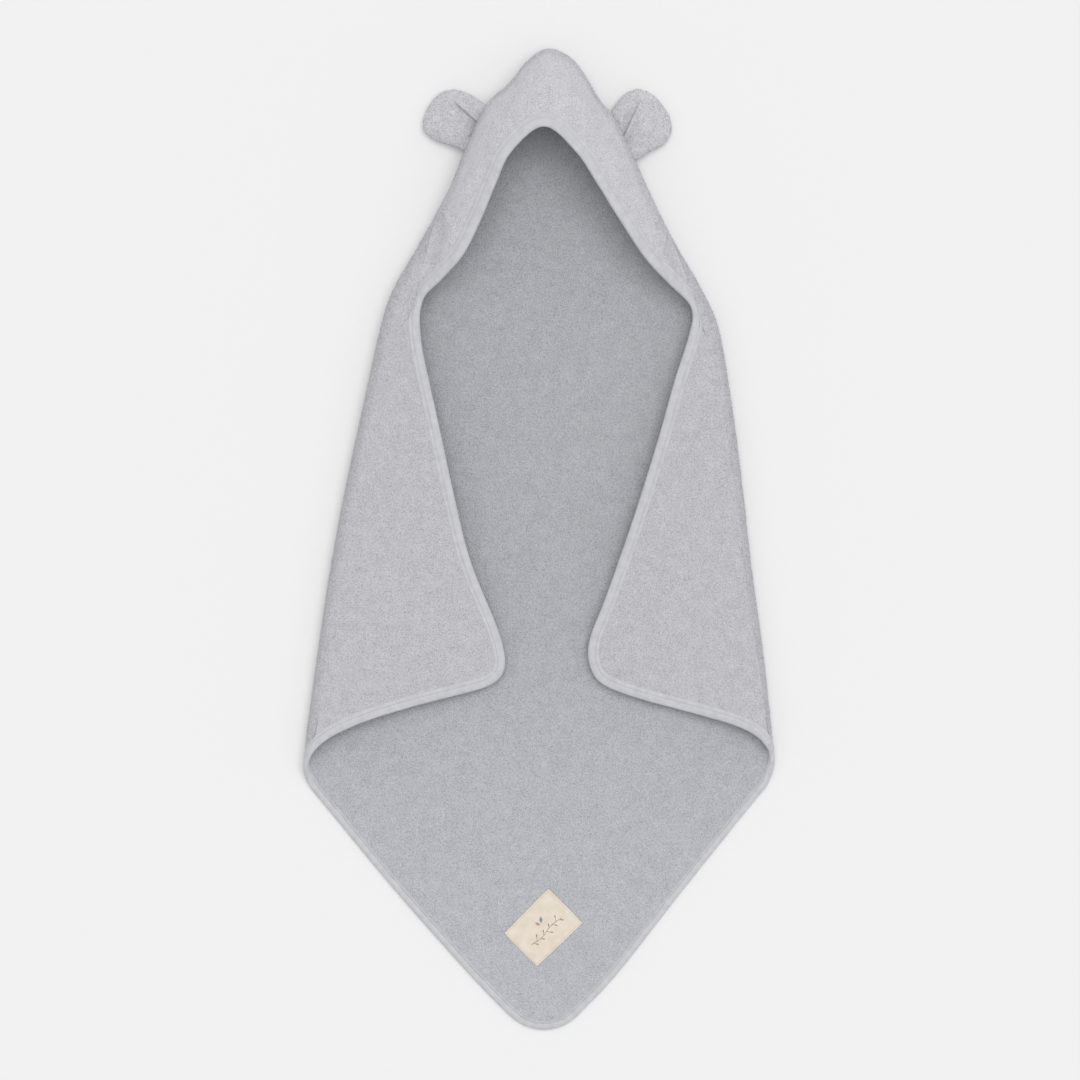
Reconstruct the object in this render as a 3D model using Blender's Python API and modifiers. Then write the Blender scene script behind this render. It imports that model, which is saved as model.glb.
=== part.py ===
"""Hooded baby towel, laid on its back with both wings folded in over the body.

Frame: X across, Y along (hood towards +Y), Z up from the surface it lies on.
The terry cloth is one square: its middle is the flat back panel with a rolled side
left and right of it, its two side corners are the folded wings, and a second piece
sewn on the top corner is the hood. Every free edge is bound with tape, and two round
ears sit in the hood's side seams. Each cloth piece is a loft of its middle surface,
made thick by a Solidify modifier.
"""

import math

import bmesh
import bpy
import numpy as np
from mathutils import Vector

# Overall sizes as laid out, in metres
LAID_WIDTH = 0.490
LAID_LENGTH = 1.019

# Cloth and tape
CLOTH = 0.0030
TAPE = 0.0008
TAPE_GAP = 0.0007
TAPE_WIDTH = 0.0095
HOOD_TAPE_WIDTH = 0.0120
SEAM_GAP = 0.3 * CLOTH

# Heights of the middle of the cloth above the middle of the flat back
TIP_ROLL = 0.0090
HOOD_TOP = 0.0800
FOLD_TOP = {"left": 0.0280, "right": 0.0215}
FOLD_FOOT = {"left": 0.0200, "right": 0.0170}
FLAP_SLOPE_HEAD = 0.20
FLAP_SLOPE_FOOT = 0.05
FLAP_SLOPE_EASE = 0.45

# Ears
EAR_LENGTH = 0.058
EAR_WIDTH = 0.062
EAR_DOME = 0.0055
EAR_REST = 0.0075
EAR_CLEAR = 0.0040
EAR_LAYER_GAP = 0.0019
EAR_BASE_SHARE = 0.9

# An ear's outline as shares of its length and width, from base to tip and back,
# and the rings that divide each face, as shares of the way from its base to its edge
EAR_OUTLINE = [
    (0.00, -0.34), (0.18, -0.44), (0.42, -0.50), (0.68, -0.46), (0.90, -0.28),
    (1.00, 0.00), (0.92, 0.27), (0.70, 0.46), (0.42, 0.50), (0.18, 0.44), (0.00, 0.34),
]
EAR_RINGS = (0.02, 0.3, 0.58, 0.82, 1.0)
EAR_RIM_POINTS = 19

# Sewn-on label
LABEL_LONG = 0.064
LABEL_SHORT = 0.049
LABEL_THICK = 0.0006
LABEL_TURN = math.radians(44)
LABEL_CLEAR = 0.0004

# Outlines as shares of the half width and half length. OUTLINE runs down each side
# from the tip of the hood to the foot of the fold. RIM runs along the free edge
# from the foot of a fold to the corner of the hood, with its height in metres.
OUTLINE = {
    "left": [
        (0.032, 1.000), (-0.049, 0.976), (-0.125, 0.931), (-0.227, 0.884),
        (-0.316, 0.792), (-0.372, 0.724), (-0.427, 0.673), (-0.520, 0.592),
        (-0.618, 0.510), (-0.673, 0.429), (-0.749, 0.265), (-0.822, 0.102),
        (-0.885, -0.061), (-0.936, -0.224), (-0.983, -0.388), (-1.000, -0.480),
    ],
    "right": [
        (0.032, 1.000), (0.113, 0.988), (0.180, 0.955), (0.253, 0.896),
        (0.321, 0.857), (0.397, 0.780), (0.499, 0.673), (0.588, 0.592),
        (0.686, 0.510), (0.758, 0.429), (0.817, 0.265), (0.860, 0.102),
        (0.898, -0.061), (0.945, -0.224), (0.983, -0.388), (1.000, -0.480),
    ],
}
RIM = {
    "left": [
        (-0.953, -0.429, 0.0200), (-0.885, -0.402, 0.0215), (-0.732, -0.369, 0.0205),
        (-0.529, -0.339, 0.0165), (-0.325, -0.314, 0.0130), (-0.223, -0.300, 0.0115),
        (-0.168, -0.284, 0.0110), (-0.142, -0.257, 0.0115), (-0.155, -0.210, 0.0130),
        (-0.189, -0.163, 0.0155), (-0.291, -0.041, 0.0220), (-0.355, 0.082, 0.0270),
        (-0.410, 0.204, 0.0300), (-0.461, 0.316, 0.0320), (-0.499, 0.408, 0.0325),
        (-0.495, 0.484, 0.0325),
    ],
    "right": [
        (0.966, -0.424, 0.0170), (0.919, -0.400, 0.0180), (0.826, -0.378, 0.0175),
        (0.648, -0.353, 0.0145), (0.444, -0.327, 0.0120), (0.304, -0.304, 0.0110),
        (0.231, -0.280, 0.0110), (0.202, -0.233, 0.0120), (0.219, -0.188, 0.0140),
        (0.274, -0.122, 0.0175), (0.393, 0.041, 0.0230), (0.499, 0.204, 0.0255),
        (0.571, 0.327, 0.0255), (0.631, 0.418, 0.0245), (0.643, 0.471, 0.0240),
    ],
}
HOOD_RIM = [
    (-0.495, 0.484), (-0.406, 0.531), (-0.316, 0.580), (-0.240, 0.653), (-0.180, 0.722),
    (-0.117, 0.784), (0.019, 0.835), (0.151, 0.784), (0.236, 0.724), (0.329, 0.653),
    (0.444, 0.571), (0.541, 0.522), (0.643, 0.471),
]
LOWER_EDGE = [
    (-0.966, -0.510), (-0.894, -0.551), (-0.614, -0.714), (-0.312, -0.878),
    (-0.159, -0.955), (-0.079, -0.988), (0.019, -1.000), (0.117, -0.988),
    (0.197, -0.953), (0.342, -0.878), (0.609, -0.714), (0.881, -0.551), (0.966, -0.502),
]
SEAM_LEAVES_SIDE = {"left": 0.680, "right": 0.633}
FOLD_HEAD = {"left": (-0.606, 0.418), "right": (0.710, 0.408)}
EAR_BASE = {"left": (0.884, 0.792), "right": (0.857, 0.780)}
LABEL_PLACE = (0.013, -0.791)

# How finely the lofts are divided
TIP_ROWS = 12
SEAM_ROWS = 5
CUT_ROWS = 3
FOLD_ROWS = 17
CURL_ROWS = 12
EDGE_ROWS = 15
FLAP_SECTIONS = 36
HOOD_SECTIONS = 34
SECTION_STEPS = 41
SIDES = {"left": -1, "right": 1}
NOSE = CLOTH / 2 + TAPE_GAP + TAPE
MIDDLE = CLOTH / 2
EDGE_LIFT = TAPE_GAP + TAPE
CURL_STRETCH = 1.15
WRAP_COLUMNS = 5
SPAN_STEPS = 20

# The rolled stretch of a row spans at least this many tape bands, and at most this
# share of the row, and a band takes at most these shares of what it lies on
TURNED_BANDS = 4
TURNED_SHARE = 0.75
BAND_SHARE_OF_ROLL = 1 / 3
BAND_SHARE_OF_SECTION = 0.6

# The back is three pieces: a flat middle and two rolled sides. They part on the flat.
FLAT_MARGIN = 0.008
PART_GAP = 0.0003
PART_COLUMN = 3 + WRAP_COLUMNS
PART_ROWS_PAST_CURL = 3

# How the rows of the back are drawn in towards both tips, as shares of the length
SPINE_STRAIGHT = 0.36
SPINE_DRAWN_IN = 0.70

# The cloth rises onto its tape over this stretch from the edge
LIFT_FROM = 0.045
LIFT_OVER = 0.035

# Sections of the wings and the hood: how far each end keeps its direction
SECTION_PULL = 0.36
RISE_PULL = 0.19
WING_END_SHARE = 0.18
HOOD_END_SHARE = 0.10
WING_END_ON_FOLD = 0.030
WING_SAG = -0.16
WING_END_RISE = 0.10
WING_END_ROWS = 4
HOOD_RISE = 0.08


def clear_scene():
    """Remove every object, so that the part stands alone."""
    for obj in list(bpy.data.objects):
        bpy.data.objects.remove(obj, do_unlink=True)


def scaled(points):
    """Outline shares as metres. A third value is already a height in metres."""
    half = np.array([LAID_WIDTH / 2, LAID_LENGTH / 2, 1.0])
    return np.array([np.array(p) * half[:len(p)] for p in points])


def through(points, per_span=SPAN_STEPS):
    """A smooth curve through the points (Catmull-Rom)."""
    ends = np.vstack([2 * points[0] - points[1], points, 2 * points[-1] - points[-2]])
    curve = []
    for i in range(1, len(ends) - 2):
        a, b, c, d = ends[i - 1:i + 3]
        for t in np.arange(per_span) / per_span:
            cubic = 2 * b + (c - a) * t + (2 * a - 5 * b + 4 * c - d) * t ** 2
            curve.append(0.5 * (cubic + (3 * b - a - 3 * c + d) * t ** 3))
    curve.append(points[-1])
    return np.array(curve)


def resampled(curve, count):
    """The same curve as count points, evenly spaced along it."""
    steps = np.linalg.norm(np.diff(curve, axis=0), axis=1)
    along = np.concatenate([[0.0], np.cumsum(steps)])
    wanted = np.linspace(0.0, along[-1], count)
    return np.array([np.interp(wanted, along, column) for column in curve.T]).T


def moved_left(curve, distance):
    """The curve shifted to its own left in plan."""
    tangent = np.gradient(curve[:, :2], axis=0)
    tangent /= np.linalg.norm(tangent, axis=1)[:, None]
    shifted = curve.copy()
    shifted[:, 0] -= tangent[:, 1] * distance
    shifted[:, 1] += tangent[:, 0] * distance
    return shifted


def unit(vector):
    """The vector at length one."""
    return vector / np.linalg.norm(vector)


def smooth(t):
    """An even rise from 0 to 1."""
    t = np.clip(t, 0.0, 1.0)
    return t * t * (3 - 2 * t)


def at_height(curve, y):
    """The curve's x where it passes the given y."""
    order = np.argsort(curve[:, 1])
    return float(np.interp(y, curve[order, 1], curve[order, 0]))


def whole_rim():
    """The cloth's free edge, just inside the tape, split into wing, hood and wing.

    It runs from the foot of the left fold over the hood to the foot of the right fold.
    """
    left = scaled(RIM["left"])
    right = scaled(RIM["right"])[::-1]
    arch = scaled(HOOD_RIM)
    share = np.linspace(-1.0, 1.0, len(arch))
    corner = np.where(share < 0, left[-1, 2], right[0, 2])
    height = corner + (HOOD_TOP - corner) * np.cos(share * math.pi / 2)
    arch = np.column_stack([arch, height])
    points = np.vstack([left, arch[1:-1], right])
    curve = through(points)
    edge = moved_left(curve, NOSE)
    first = (len(left) - 1) * SPAN_STEPS
    second = (len(left) + len(arch) - 2) * SPAN_STEPS
    return edge[:first + 1], edge[first:second + 1], edge[second:]


def outline_sides():
    """The middle of the cloth down each side, as one curve over the tip of the hood."""
    left = scaled(OUTLINE["left"])
    right = scaled(OUTLINE["right"])
    whole = through(np.vstack([left[::-1], right[1:]]))
    inner = moved_left(whole, -MIDDLE)
    tip = (len(left) - 1) * SPAN_STEPS
    return {"left": inner[:tip + 1][::-1], "right": inner[tip:]}


def spine_x(y):
    """The middle line of the back, from the tip of the hood to the bottom corner."""
    tip = OUTLINE["left"][0][0] * LAID_WIDTH / 2
    bottom = LOWER_EDGE[len(LOWER_EDGE) // 2][0] * LAID_WIDTH / 2
    return bottom + (tip - bottom) * (y / LAID_LENGTH + 0.5)


def spine_y(y):
    """Where the row to an outline point starts: drawn in near both tips."""
    straight = SPINE_STRAIGHT * LAID_LENGTH
    beyond = max(abs(y) - straight, 0.0)
    return np.sign(y) * (min(abs(y), straight) + SPINE_DRAWN_IN * beyond)


class Side:
    """One side of the towel: its outline, its fold line and the heights along it."""

    def __init__(self, name, outline, wing_edge):
        self.name = name
        self.sign = SIDES[name]
        self.outline = outline
        self.corner = wing_edge[-1] if name == "left" else wing_edge[0]
        self.foot = wing_edge[0] if name == "left" else wing_edge[-1]
        self.head = scaled([FOLD_HEAD[name]])[0]
        self.seam_top = SEAM_LEAVES_SIDE[name] * LAID_LENGTH / 2
        self.fold = unit(self.foot[:2] - self.head)
        self.fold_length = np.linalg.norm(self.foot[:2] - self.head)
        self.inward = np.array([self.fold[1], -self.fold[0]])
        self.inward *= -np.sign(self.inward[0]) * self.sign
        self.foot_wrap = 0.0
        self.head_roll = self.roll_at(self.head, 0.0)

    def fold_height(self, along):
        """Height of the fold line, straight from its head to its foot."""
        top = FOLD_TOP[self.name]
        return top + (FOLD_FOOT[self.name] - top) * along / self.fold_length

    def fold_tilt(self, along):
        """Upward slope of the cloth as it leaves the fold towards the middle."""
        share = smooth(along / (FLAP_SLOPE_EASE * self.fold_length))
        return math.atan(FLAP_SLOPE_HEAD + (FLAP_SLOPE_FOOT - FLAP_SLOPE_HEAD) * share)

    def roll_at(self, point, along):
        """Radius of the rolled side that brings the cloth to the fold line's height."""
        inset = abs(point[0] - at_height(self.outline, point[1]))
        tilt = self.fold_tilt(along)
        rise = self.fold_height(along) - inset * math.tan(tilt)
        return rise / (1 + math.cos(tilt) - (1 - math.sin(tilt)) * math.tan(tilt))

    def inset_to_line(self, start, inward, a, b):
        """Distance from start along inward to the line through a and b."""
        across = b - a
        normal = np.array([-across[1], across[0]])
        return float(np.dot(a - start, normal) / np.dot(inward, normal))


def wrapped_length(inset, roll, tilt):
    """Cloth from the flat's end, round the roll, to a point inset from the side."""
    before_top = roll * (1 - math.sin(tilt))
    if inset <= before_top:
        return roll * (math.pi - math.asin(np.clip(1 - inset / roll, -1, 1)))
    return roll * (math.pi - tilt) + (inset - before_top) / math.cos(tilt)


def side_rows(side, lower):
    """Rows of the back panel down one side, each as start, direction, roll and length."""
    outline = side.outline
    seam_row = int(np.argmax(outline[:, 1] <= side.seam_top))
    tip = resampled(outline[:seam_row + 1], TIP_ROWS)
    seam_y = np.linspace(tip[-1, 1], side.corner[1], SEAM_ROWS + 1)[1:]
    cut_y = np.linspace(side.corner[1], side.head[1], CUT_ROWS + 1)[1:]
    fold_y = np.linspace(side.head[1], side.foot[1], FOLD_ROWS + 1)[1:]
    edge = resampled(lower, EDGE_ROWS)

    rows = []
    for i, point in enumerate(tip):
        roll = TIP_ROLL + (side.head_roll - TIP_ROLL) * smooth(i / (TIP_ROWS - 1))
        rows.append(("tip", point, roll, 0.0))
    for y in seam_y:
        rows.append(("seam", np.array([at_height(outline, y), y]), side.head_roll, 0.0))
    for y in cut_y[:-1]:
        rows.append(("cut", np.array([at_height(outline, y), y]), side.head_roll, 0.0))
    for y in np.concatenate([cut_y[-1:], fold_y]):
        share = (y - side.head[1]) / (side.foot[1] - side.head[1])
        on_fold = side.head + (side.foot[:2] - side.head) * share
        along = np.linalg.norm(on_fold - side.head)
        point = np.array([at_height(outline, y), y])
        rows.append(("fold", point, side.roll_at(on_fold, along), along))
    foot_flat = rows[-1][1] - np.array([side.sign * rows[-1][2], 0.0])
    for i in range(1, CURL_ROWS):
        share = i / CURL_ROWS
        flat_end = foot_flat + (edge[0, :2] - foot_flat) * share
        rows.append(("curl", flat_end, rows[-1][2], 1 - share))
    for point in edge:
        rows.append(("edge", point[:2], rows[-1][2], 0.0))
    return rows


class BackRow:
    """One row of the back panel: flat from the middle line, then round the roll."""

    def __init__(self, side, kind, point, roll, extra, middle):
        out = point - middle
        reach = np.linalg.norm(out)
        self.middle = middle
        self.out = out / reach
        self.roll = roll
        self.kind = kind
        self.tilt = 0.0
        self.lift = 0.0
        if kind == "tip":
            self.flat = reach - roll
            self.wrap = roll * math.pi / 2
        elif kind in ("seam", "cut", "fold"):
            self.flat = reach - roll
            self.tilt = side.fold_tilt(extra if kind == "fold" else 0.0)
            self.wrap = wrapped_length(self.inset(side, point, extra), roll, self.tilt)
        else:
            self.flat = reach
            self.tilt = side.fold_tilt(side.fold_length)
            self.wrap = side.foot_wrap * extra
            self.lift = EDGE_LIFT * min(1.0, 2 * (1 - extra))

    def inset(self, side, point, extra):
        """Distance in plan from the side of the towel to this row's end."""
        inward = -self.out
        corner = side.corner[:2]
        if self.kind == "fold":
            return side.inset_to_line(point, inward, side.head, side.foot[:2])
        if self.kind == "cut":
            return side.inset_to_line(point, inward, corner, side.head)
        full = abs(corner[0] - at_height(side.outline, corner[1]))
        share = (side.seam_top - point[1]) / (side.seam_top - corner[1])
        return full * np.clip(share, 0.0, 1.0) ** 1.5

    def length(self):
        """Cloth length of the row, from the middle line to its end."""
        return self.flat + self.wrap

    def at(self, from_end):
        """The point of the cloth at a distance back from the row's end."""
        along = max(self.length() - from_end, 0.0)
        lift = self.lift * smooth((along - self.length() + LIFT_FROM) / LIFT_OVER)
        past = along - self.flat
        arc = self.roll * (math.pi - self.tilt)
        if past <= 0:
            across, height = along, 0.0
        elif past <= arc:
            across = self.flat + self.roll * math.sin(past / self.roll)
            height = self.roll * (1 - math.cos(past / self.roll))
        else:
            run = past - arc
            across = self.flat + self.roll * math.sin(self.tilt) - run * math.cos(self.tilt)
            height = self.roll * (1 + math.cos(self.tilt)) + run * math.sin(self.tilt)
        plan = self.middle + self.out * across
        return np.array([plan[0], plan[1], MIDDLE + height + lift])

    def heading(self):
        """Direction in which the cloth leaves the row's end."""
        step = 0.0005
        return unit(self.at(0.0) - self.at(step))


def back_rows(sides, lower):
    """Matching rows for both sides, sharing their points on the middle line."""
    low = {"left": lower[:len(lower) // 2 + 1], "right": lower[len(lower) // 2:][::-1]}
    plans = {name: side_rows(side, low[name]) for name, side in sides.items()}
    pairs = list(zip(plans["left"], plans["right"]))
    rows = {"left": [], "right": []}
    for pair in pairs:
        y = spine_y((pair[0][1][1] + pair[1][1][1]) / 2)
        middle = np.array([spine_x(y), y])
        for name, (kind, point, roll, extra) in zip(("left", "right"), pair):
            row = BackRow(sides[name], kind, point, roll, extra, middle)
            rows[name].append(row)
            if kind == "fold":
                sides[name].foot_wrap = row.wrap
    return rows


def edge_slant(points, inner):
    """For each edge point, how much longer a slanted section is than a square one."""
    tangent = np.gradient(points, axis=0)
    tangent /= np.linalg.norm(tangent, axis=1)[:, None]
    inward = inner - points
    inward /= np.linalg.norm(inward, axis=1)[:, None]
    square = np.sqrt(np.clip(1 - np.sum(tangent * inward, axis=1) ** 2, 0.05, 1.0))
    return 1 / square


def back_grid(rows):
    """Points of one half of the back, row by row, from the edge to the middle line."""
    ends = np.array([row.at(0.0) for row in rows])
    inner = np.array([row.at(TAPE_WIDTH) for row in rows])
    slant = edge_slant(ends, inner)
    grid = []
    for row, stretch in zip(rows, slant):
        most = {"edge": stretch, "curl": min(stretch, CURL_STRETCH)}
        band = TAPE_WIDTH * most.get(row.kind, 1.0)
        room = row.length()
        turned = min(max(row.wrap, TURNED_BANDS * band), TURNED_SHARE * room)
        band = min(band, BAND_SHARE_OF_ROLL * turned)
        steps = [0.0, band / 2, band]
        steps += [band + (turned - band) * k / WRAP_COLUMNS for k in range(1, WRAP_COLUMNS + 1)]
        parting = min(turned + FLAT_MARGIN, (turned + room) / 2)
        steps += [parting, (parting + room) / 2, room]
        grid.append([row.at(s) for s in steps])
    return np.array(grid)


def middle_grid(grid, rows_in_side):
    """The half grid with its border to the rolled side drawn back by the parting gap."""
    drawn = grid.copy()
    border = slice(0, rows_in_side + 1)
    inward = grid[border, PART_COLUMN + 1] - grid[border, PART_COLUMN]
    inward /= np.linalg.norm(inward, axis=1)[:, None]
    drawn[border, PART_COLUMN] += inward * PART_GAP
    down = grid[rows_in_side + 1, :PART_COLUMN + 1] - grid[rows_in_side, :PART_COLUMN + 1]
    down /= np.linalg.norm(down, axis=1)[:, None]
    drawn[rows_in_side, :PART_COLUMN + 1] += down * PART_GAP
    return drawn


def side_grid(grid, rows_in_side):
    """The rolled side's part of the half grid, drawn back a little at the hood's tip."""
    side = grid[:rows_in_side + 1, :PART_COLUMN + 1].copy()
    down = side[1] - side[0]
    down /= np.linalg.norm(down, axis=1)[:, None]
    side[0] += down * SEAM_GAP
    return side


def loft_mesh(name, grids, left_out=(0, 0)):
    """A sheet through one grid of points, or through two that share a column.

    The faces in the first left_out rows and columns of each grid belong to another piece.
    """
    mesh = bmesh.new()
    for which, points in enumerate(grids):
        verts = [[mesh.verts.new(p) for p in row] for row in points]
        for i in range(len(verts) - 1):
            for j in range(len(verts[0]) - 1):
                if i < left_out[0] and j < left_out[1]:
                    continue
                corner = [verts[i][j], verts[i + 1][j], verts[i + 1][j + 1], verts[i][j + 1]]
                mesh.faces.new(corner if which == 0 else corner[::-1])
    loose = [v for v in mesh.verts if not v.link_faces]
    bmesh.ops.delete(mesh, geom=loose, context="VERTS")
    bmesh.ops.remove_doubles(mesh, verts=mesh.verts, dist=1e-5)
    data = bpy.data.meshes.new(name)
    mesh.to_mesh(data)
    mesh.free()
    data.shade_smooth()
    return data


def normals_of(grid):
    """Upward normals of a grid of points."""
    along = np.gradient(grid, axis=0)
    across = np.gradient(grid, axis=1)
    normal = np.cross(along, across)
    normal /= np.maximum(np.linalg.norm(normal, axis=2), 1e-12)[:, :, None]
    return normal


def bezier(start, leave, end, arrive, columns):
    """A section of cloth from start to end, leaving and arriving along two directions."""
    chord = end - start
    size = np.linalg.norm(chord)
    pull = SECTION_PULL * size + RISE_PULL * abs(chord[2]) * abs(leave[2])
    a = start + leave * pull
    b = end - arrive * SECTION_PULL * size
    t = columns[:, None]
    near = (1 - t) ** 3 * start + 3 * (1 - t) ** 2 * t * a
    return near + 3 * (1 - t) * t ** 2 * b + t ** 3 * end


def section_at(curve, from_end):
    """Points of a section at given cloth distances back from its end."""
    steps = np.linalg.norm(np.diff(curve, axis=0), axis=1)
    along = np.concatenate([[0.0], np.cumsum(steps)])
    wanted = along[-1] - np.clip(np.array(from_end), 0.0, along[-1])
    return np.array([np.interp(wanted, along, column) for column in curve.T]).T


def panel_grid(base, leave, rim, band, inner_columns, arrive_slope):
    """Sections from a sewn or folded line to a free edge, listed from the edge inwards.

    The first three columns lie under the tape, and the rest divide what is left.
    """
    fine = np.linspace(0.0, 1.0, SECTION_STEPS)
    slant = edge_slant(rim, base)
    grid = []
    for i in range(len(rim)):
        chord = rim[i] - base[i]
        level = unit(np.array([chord[0], chord[1], 0.0]))
        arrive = unit(level + np.array([0.0, 0.0, arrive_slope[i]]))
        curve = bezier(base[i], leave[i], rim[i], arrive, fine)
        size = float(np.sum(np.linalg.norm(np.diff(curve, axis=0), axis=1)))
        step = min(band * slant[i], BAND_SHARE_OF_SECTION * size)
        shares = np.linspace(0.0, 1.0, inner_columns + 1)[1:]
        distances = [0.0, step / 2, step] + [step + (size - step) * s for s in shares]
        grid.append(section_at(curve, distances))
    return np.array(grid)


def tape_grid(grid, upward):
    """The tape's own middle surface: over the edge, round its nose and back under it."""
    reach = CLOTH / 2 + TAPE_GAP + TAPE / 2
    normal = normals_of(grid) * upward
    out = grid[:, 0] - grid[:, 1]
    out /= np.linalg.norm(out, axis=1)[:, None]
    columns = [grid[:, 2] + normal[:, 2] * reach, grid[:, 1] + normal[:, 1] * reach]
    for turn in np.radians([90, 45, 0, -45, -90]):
        columns.append(grid[:, 0] + (out * math.cos(turn) + normal[:, 0] * math.sin(turn)) * reach)
    columns += [grid[:, 1] - normal[:, 1] * reach, grid[:, 2] - normal[:, 2] * reach]
    return np.stack(columns, axis=1)


def material(name, colour, roughness):
    """A plain cloth material with the piece's own colour."""
    finish = bpy.data.materials.new(name)
    finish.use_nodes = True
    shader = finish.node_tree.nodes["Principled BSDF"]
    shader.inputs["Base Color"].default_value = (*colour, 1.0)
    shader.inputs["Roughness"].default_value = roughness
    shader.inputs["Metallic"].default_value = 0.0
    return finish


def add_piece(collection, name, data, thickness, finish):
    """Put a sheet in the scene as a named piece of even thickness."""
    obj = bpy.data.objects.new(name, data)
    collection.objects.link(obj)
    data.materials.append(material(name + "_cloth", *finish))
    solid = obj.modifiers.new("thickness", "SOLIDIFY")
    solid.thickness = thickness
    solid.offset = 0.0
    return obj


def set_pivot(obj, place):
    """Move the object's origin to a point, leaving its shape where it is."""
    shift = Vector(place)
    for vert in obj.data.vertices:
        vert.co -= shift
    obj.location = shift


def fold_line(side):
    """Head and foot of the fold, on the cloth's upper skin, where the wing turns."""
    skin = MIDDLE + CLOTH / 2
    head = np.array([*side.head, side.fold_height(0.0) + skin])
    foot = np.array([*side.foot[:2], side.fold_height(side.fold_length) + skin])
    return head, foot


def wing_grid(side, wing_edge):
    """A folded wing: from the fold line to its bound edge."""
    edge = wing_edge if side.name == "left" else wing_edge[::-1]
    rim = resampled(edge[::-1], FLAP_SECTIONS)
    fold_end = side.fold_length - WING_END_ON_FOLD
    inward = side.inward
    base = []
    leave = []
    for i, along in enumerate(np.linspace(0.0, fold_end, FLAP_SECTIONS)):
        plan = side.head + side.fold * along + inward * SEAM_GAP
        start = np.array([plan[0], plan[1], MIDDLE + side.fold_height(along)])
        tilt = side.fold_tilt(along)
        square = np.array([inward[0], inward[1], math.tan(tilt)])
        share = i / (FLAP_SECTIONS - 1)
        weight = smooth(share / WING_END_SHARE) * smooth((1 - share) / WING_END_SHARE)
        base.append(start)
        leave.append(unit(unit(rim[i] - start) * (1 - weight) + unit(square) * weight))
    base = np.array(base)
    rim[:, 2] += MIDDLE
    rim[0, :2] += side.fold * SEAM_GAP * 2
    base[0, :2] += side.fold * SEAM_GAP * 2
    rim[-1, :2] += inward * SEAM_GAP * 2
    slope = np.full(FLAP_SECTIONS, WING_SAG)
    slope[:WING_END_ROWS] = np.linspace(WING_END_RISE, -WING_END_RISE, WING_END_ROWS)
    slope[-WING_END_ROWS:] = np.linspace(-WING_END_RISE, 0.0, WING_END_ROWS)
    return panel_grid(base, np.array(leave), rim, TAPE_WIDTH, 3, slope)


def hood_grid(rows, hood_edge):
    """The hood: from its seam on the back up to its bound front edge."""
    sewn = {name: [row for row in rows[name] if row.kind in ("tip", "seam")][:-2] for name in SIDES}
    around = sewn["left"][::-1] + sewn["right"][1:]
    seam = np.array([row.at(0.0) + row.heading() * SEAM_GAP for row in around])
    leave = np.array([row.heading() for row in around])
    along = np.concatenate([[0.0], np.cumsum(np.linalg.norm(np.diff(seam, axis=0), axis=1))])
    wanted = np.linspace(0.0, along[-1], HOOD_SECTIONS)
    base = np.array([np.interp(wanted, along, column) for column in seam.T]).T
    ways = np.array([np.interp(wanted, along, column) for column in leave.T]).T
    rim = resampled(hood_edge, HOOD_SECTIONS + 2)[1:-1]
    rim[:, 2] += MIDDLE
    for i in range(HOOD_SECTIONS):
        share = min(i, HOOD_SECTIONS - 1 - i) / (HOOD_SECTIONS - 1)
        weight = smooth(share / HOOD_END_SHARE)
        ways[i] = unit(unit(rim[i] - base[i]) * (1 - weight) + unit(ways[i]) * weight)
    slope = np.full(HOOD_SECTIONS, HOOD_RISE)
    return panel_grid(base, ways, rim, HOOD_TAPE_WIDTH, 4, slope)


def ear_frame(side):
    """Place of an ear on the hood's side: its base, outward and along-the-seam ways."""
    top, bottom = (y * LAID_LENGTH / 2 for y in EAR_BASE[side.name])
    a = np.array([at_height(side.outline, top), top])
    b = np.array([at_height(side.outline, bottom), bottom])
    seam = unit(b - a)
    out = np.array([seam[1], -seam[0]])
    out *= side.sign * np.sign(out[0])
    base = (a + b) / 2 + out * (MIDDLE + EAR_CLEAR)
    return base, out, seam


def ear_grid(side, layer, height):
    """One face of an ear: rings from the middle of its base out to its round edge."""
    base, out, seam = ear_frame(side)
    rim = resampled(through(np.array(EAR_OUTLINE)), EAR_RIM_POINTS)
    grid = []
    for u, v in rim:
        row = []
        for ring in EAR_RINGS:
            along = u * ring * EAR_LENGTH
            across = v * ring * EAR_WIDTH
            dome = layer * (EAR_LAYER_GAP + EAR_DOME * math.sin(math.pi * ring ** 1.5) / 2)
            plan = base + out * along + seam * across
            z = height + (EAR_REST - height) * along / EAR_LENGTH + dome
            row.append(np.array([plan[0], plan[1], z]))
        grid.append(row)
    return np.array(grid)


def add_label(collection):
    """A small woven label, lying on the cloth near the bottom corner."""
    place = scaled([LABEL_PLACE])[0]
    bpy.ops.mesh.primitive_grid_add(x_subdivisions=4, y_subdivisions=3, size=1.0)
    label = bpy.context.active_object
    label.name = "woven_label"
    label.data.name = "woven_label"
    for owner in list(label.users_collection):
        owner.objects.unlink(label)
    collection.objects.link(label)
    for vert in label.data.vertices:
        vert.co.x *= LABEL_LONG
        vert.co.y *= LABEL_SHORT
    label.location = (place[0], place[1], CLOTH + LABEL_CLEAR + LABEL_THICK / 2)
    label.rotation_euler = (0.0, 0.0, LABEL_TURN)
    label.data.materials.append(material("woven_label_cloth", (0.72, 0.66, 0.58), 0.8))
    solid = label.modifiers.new("thickness", "SOLIDIFY")
    solid.thickness = LABEL_THICK
    solid.offset = 0.0


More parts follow.
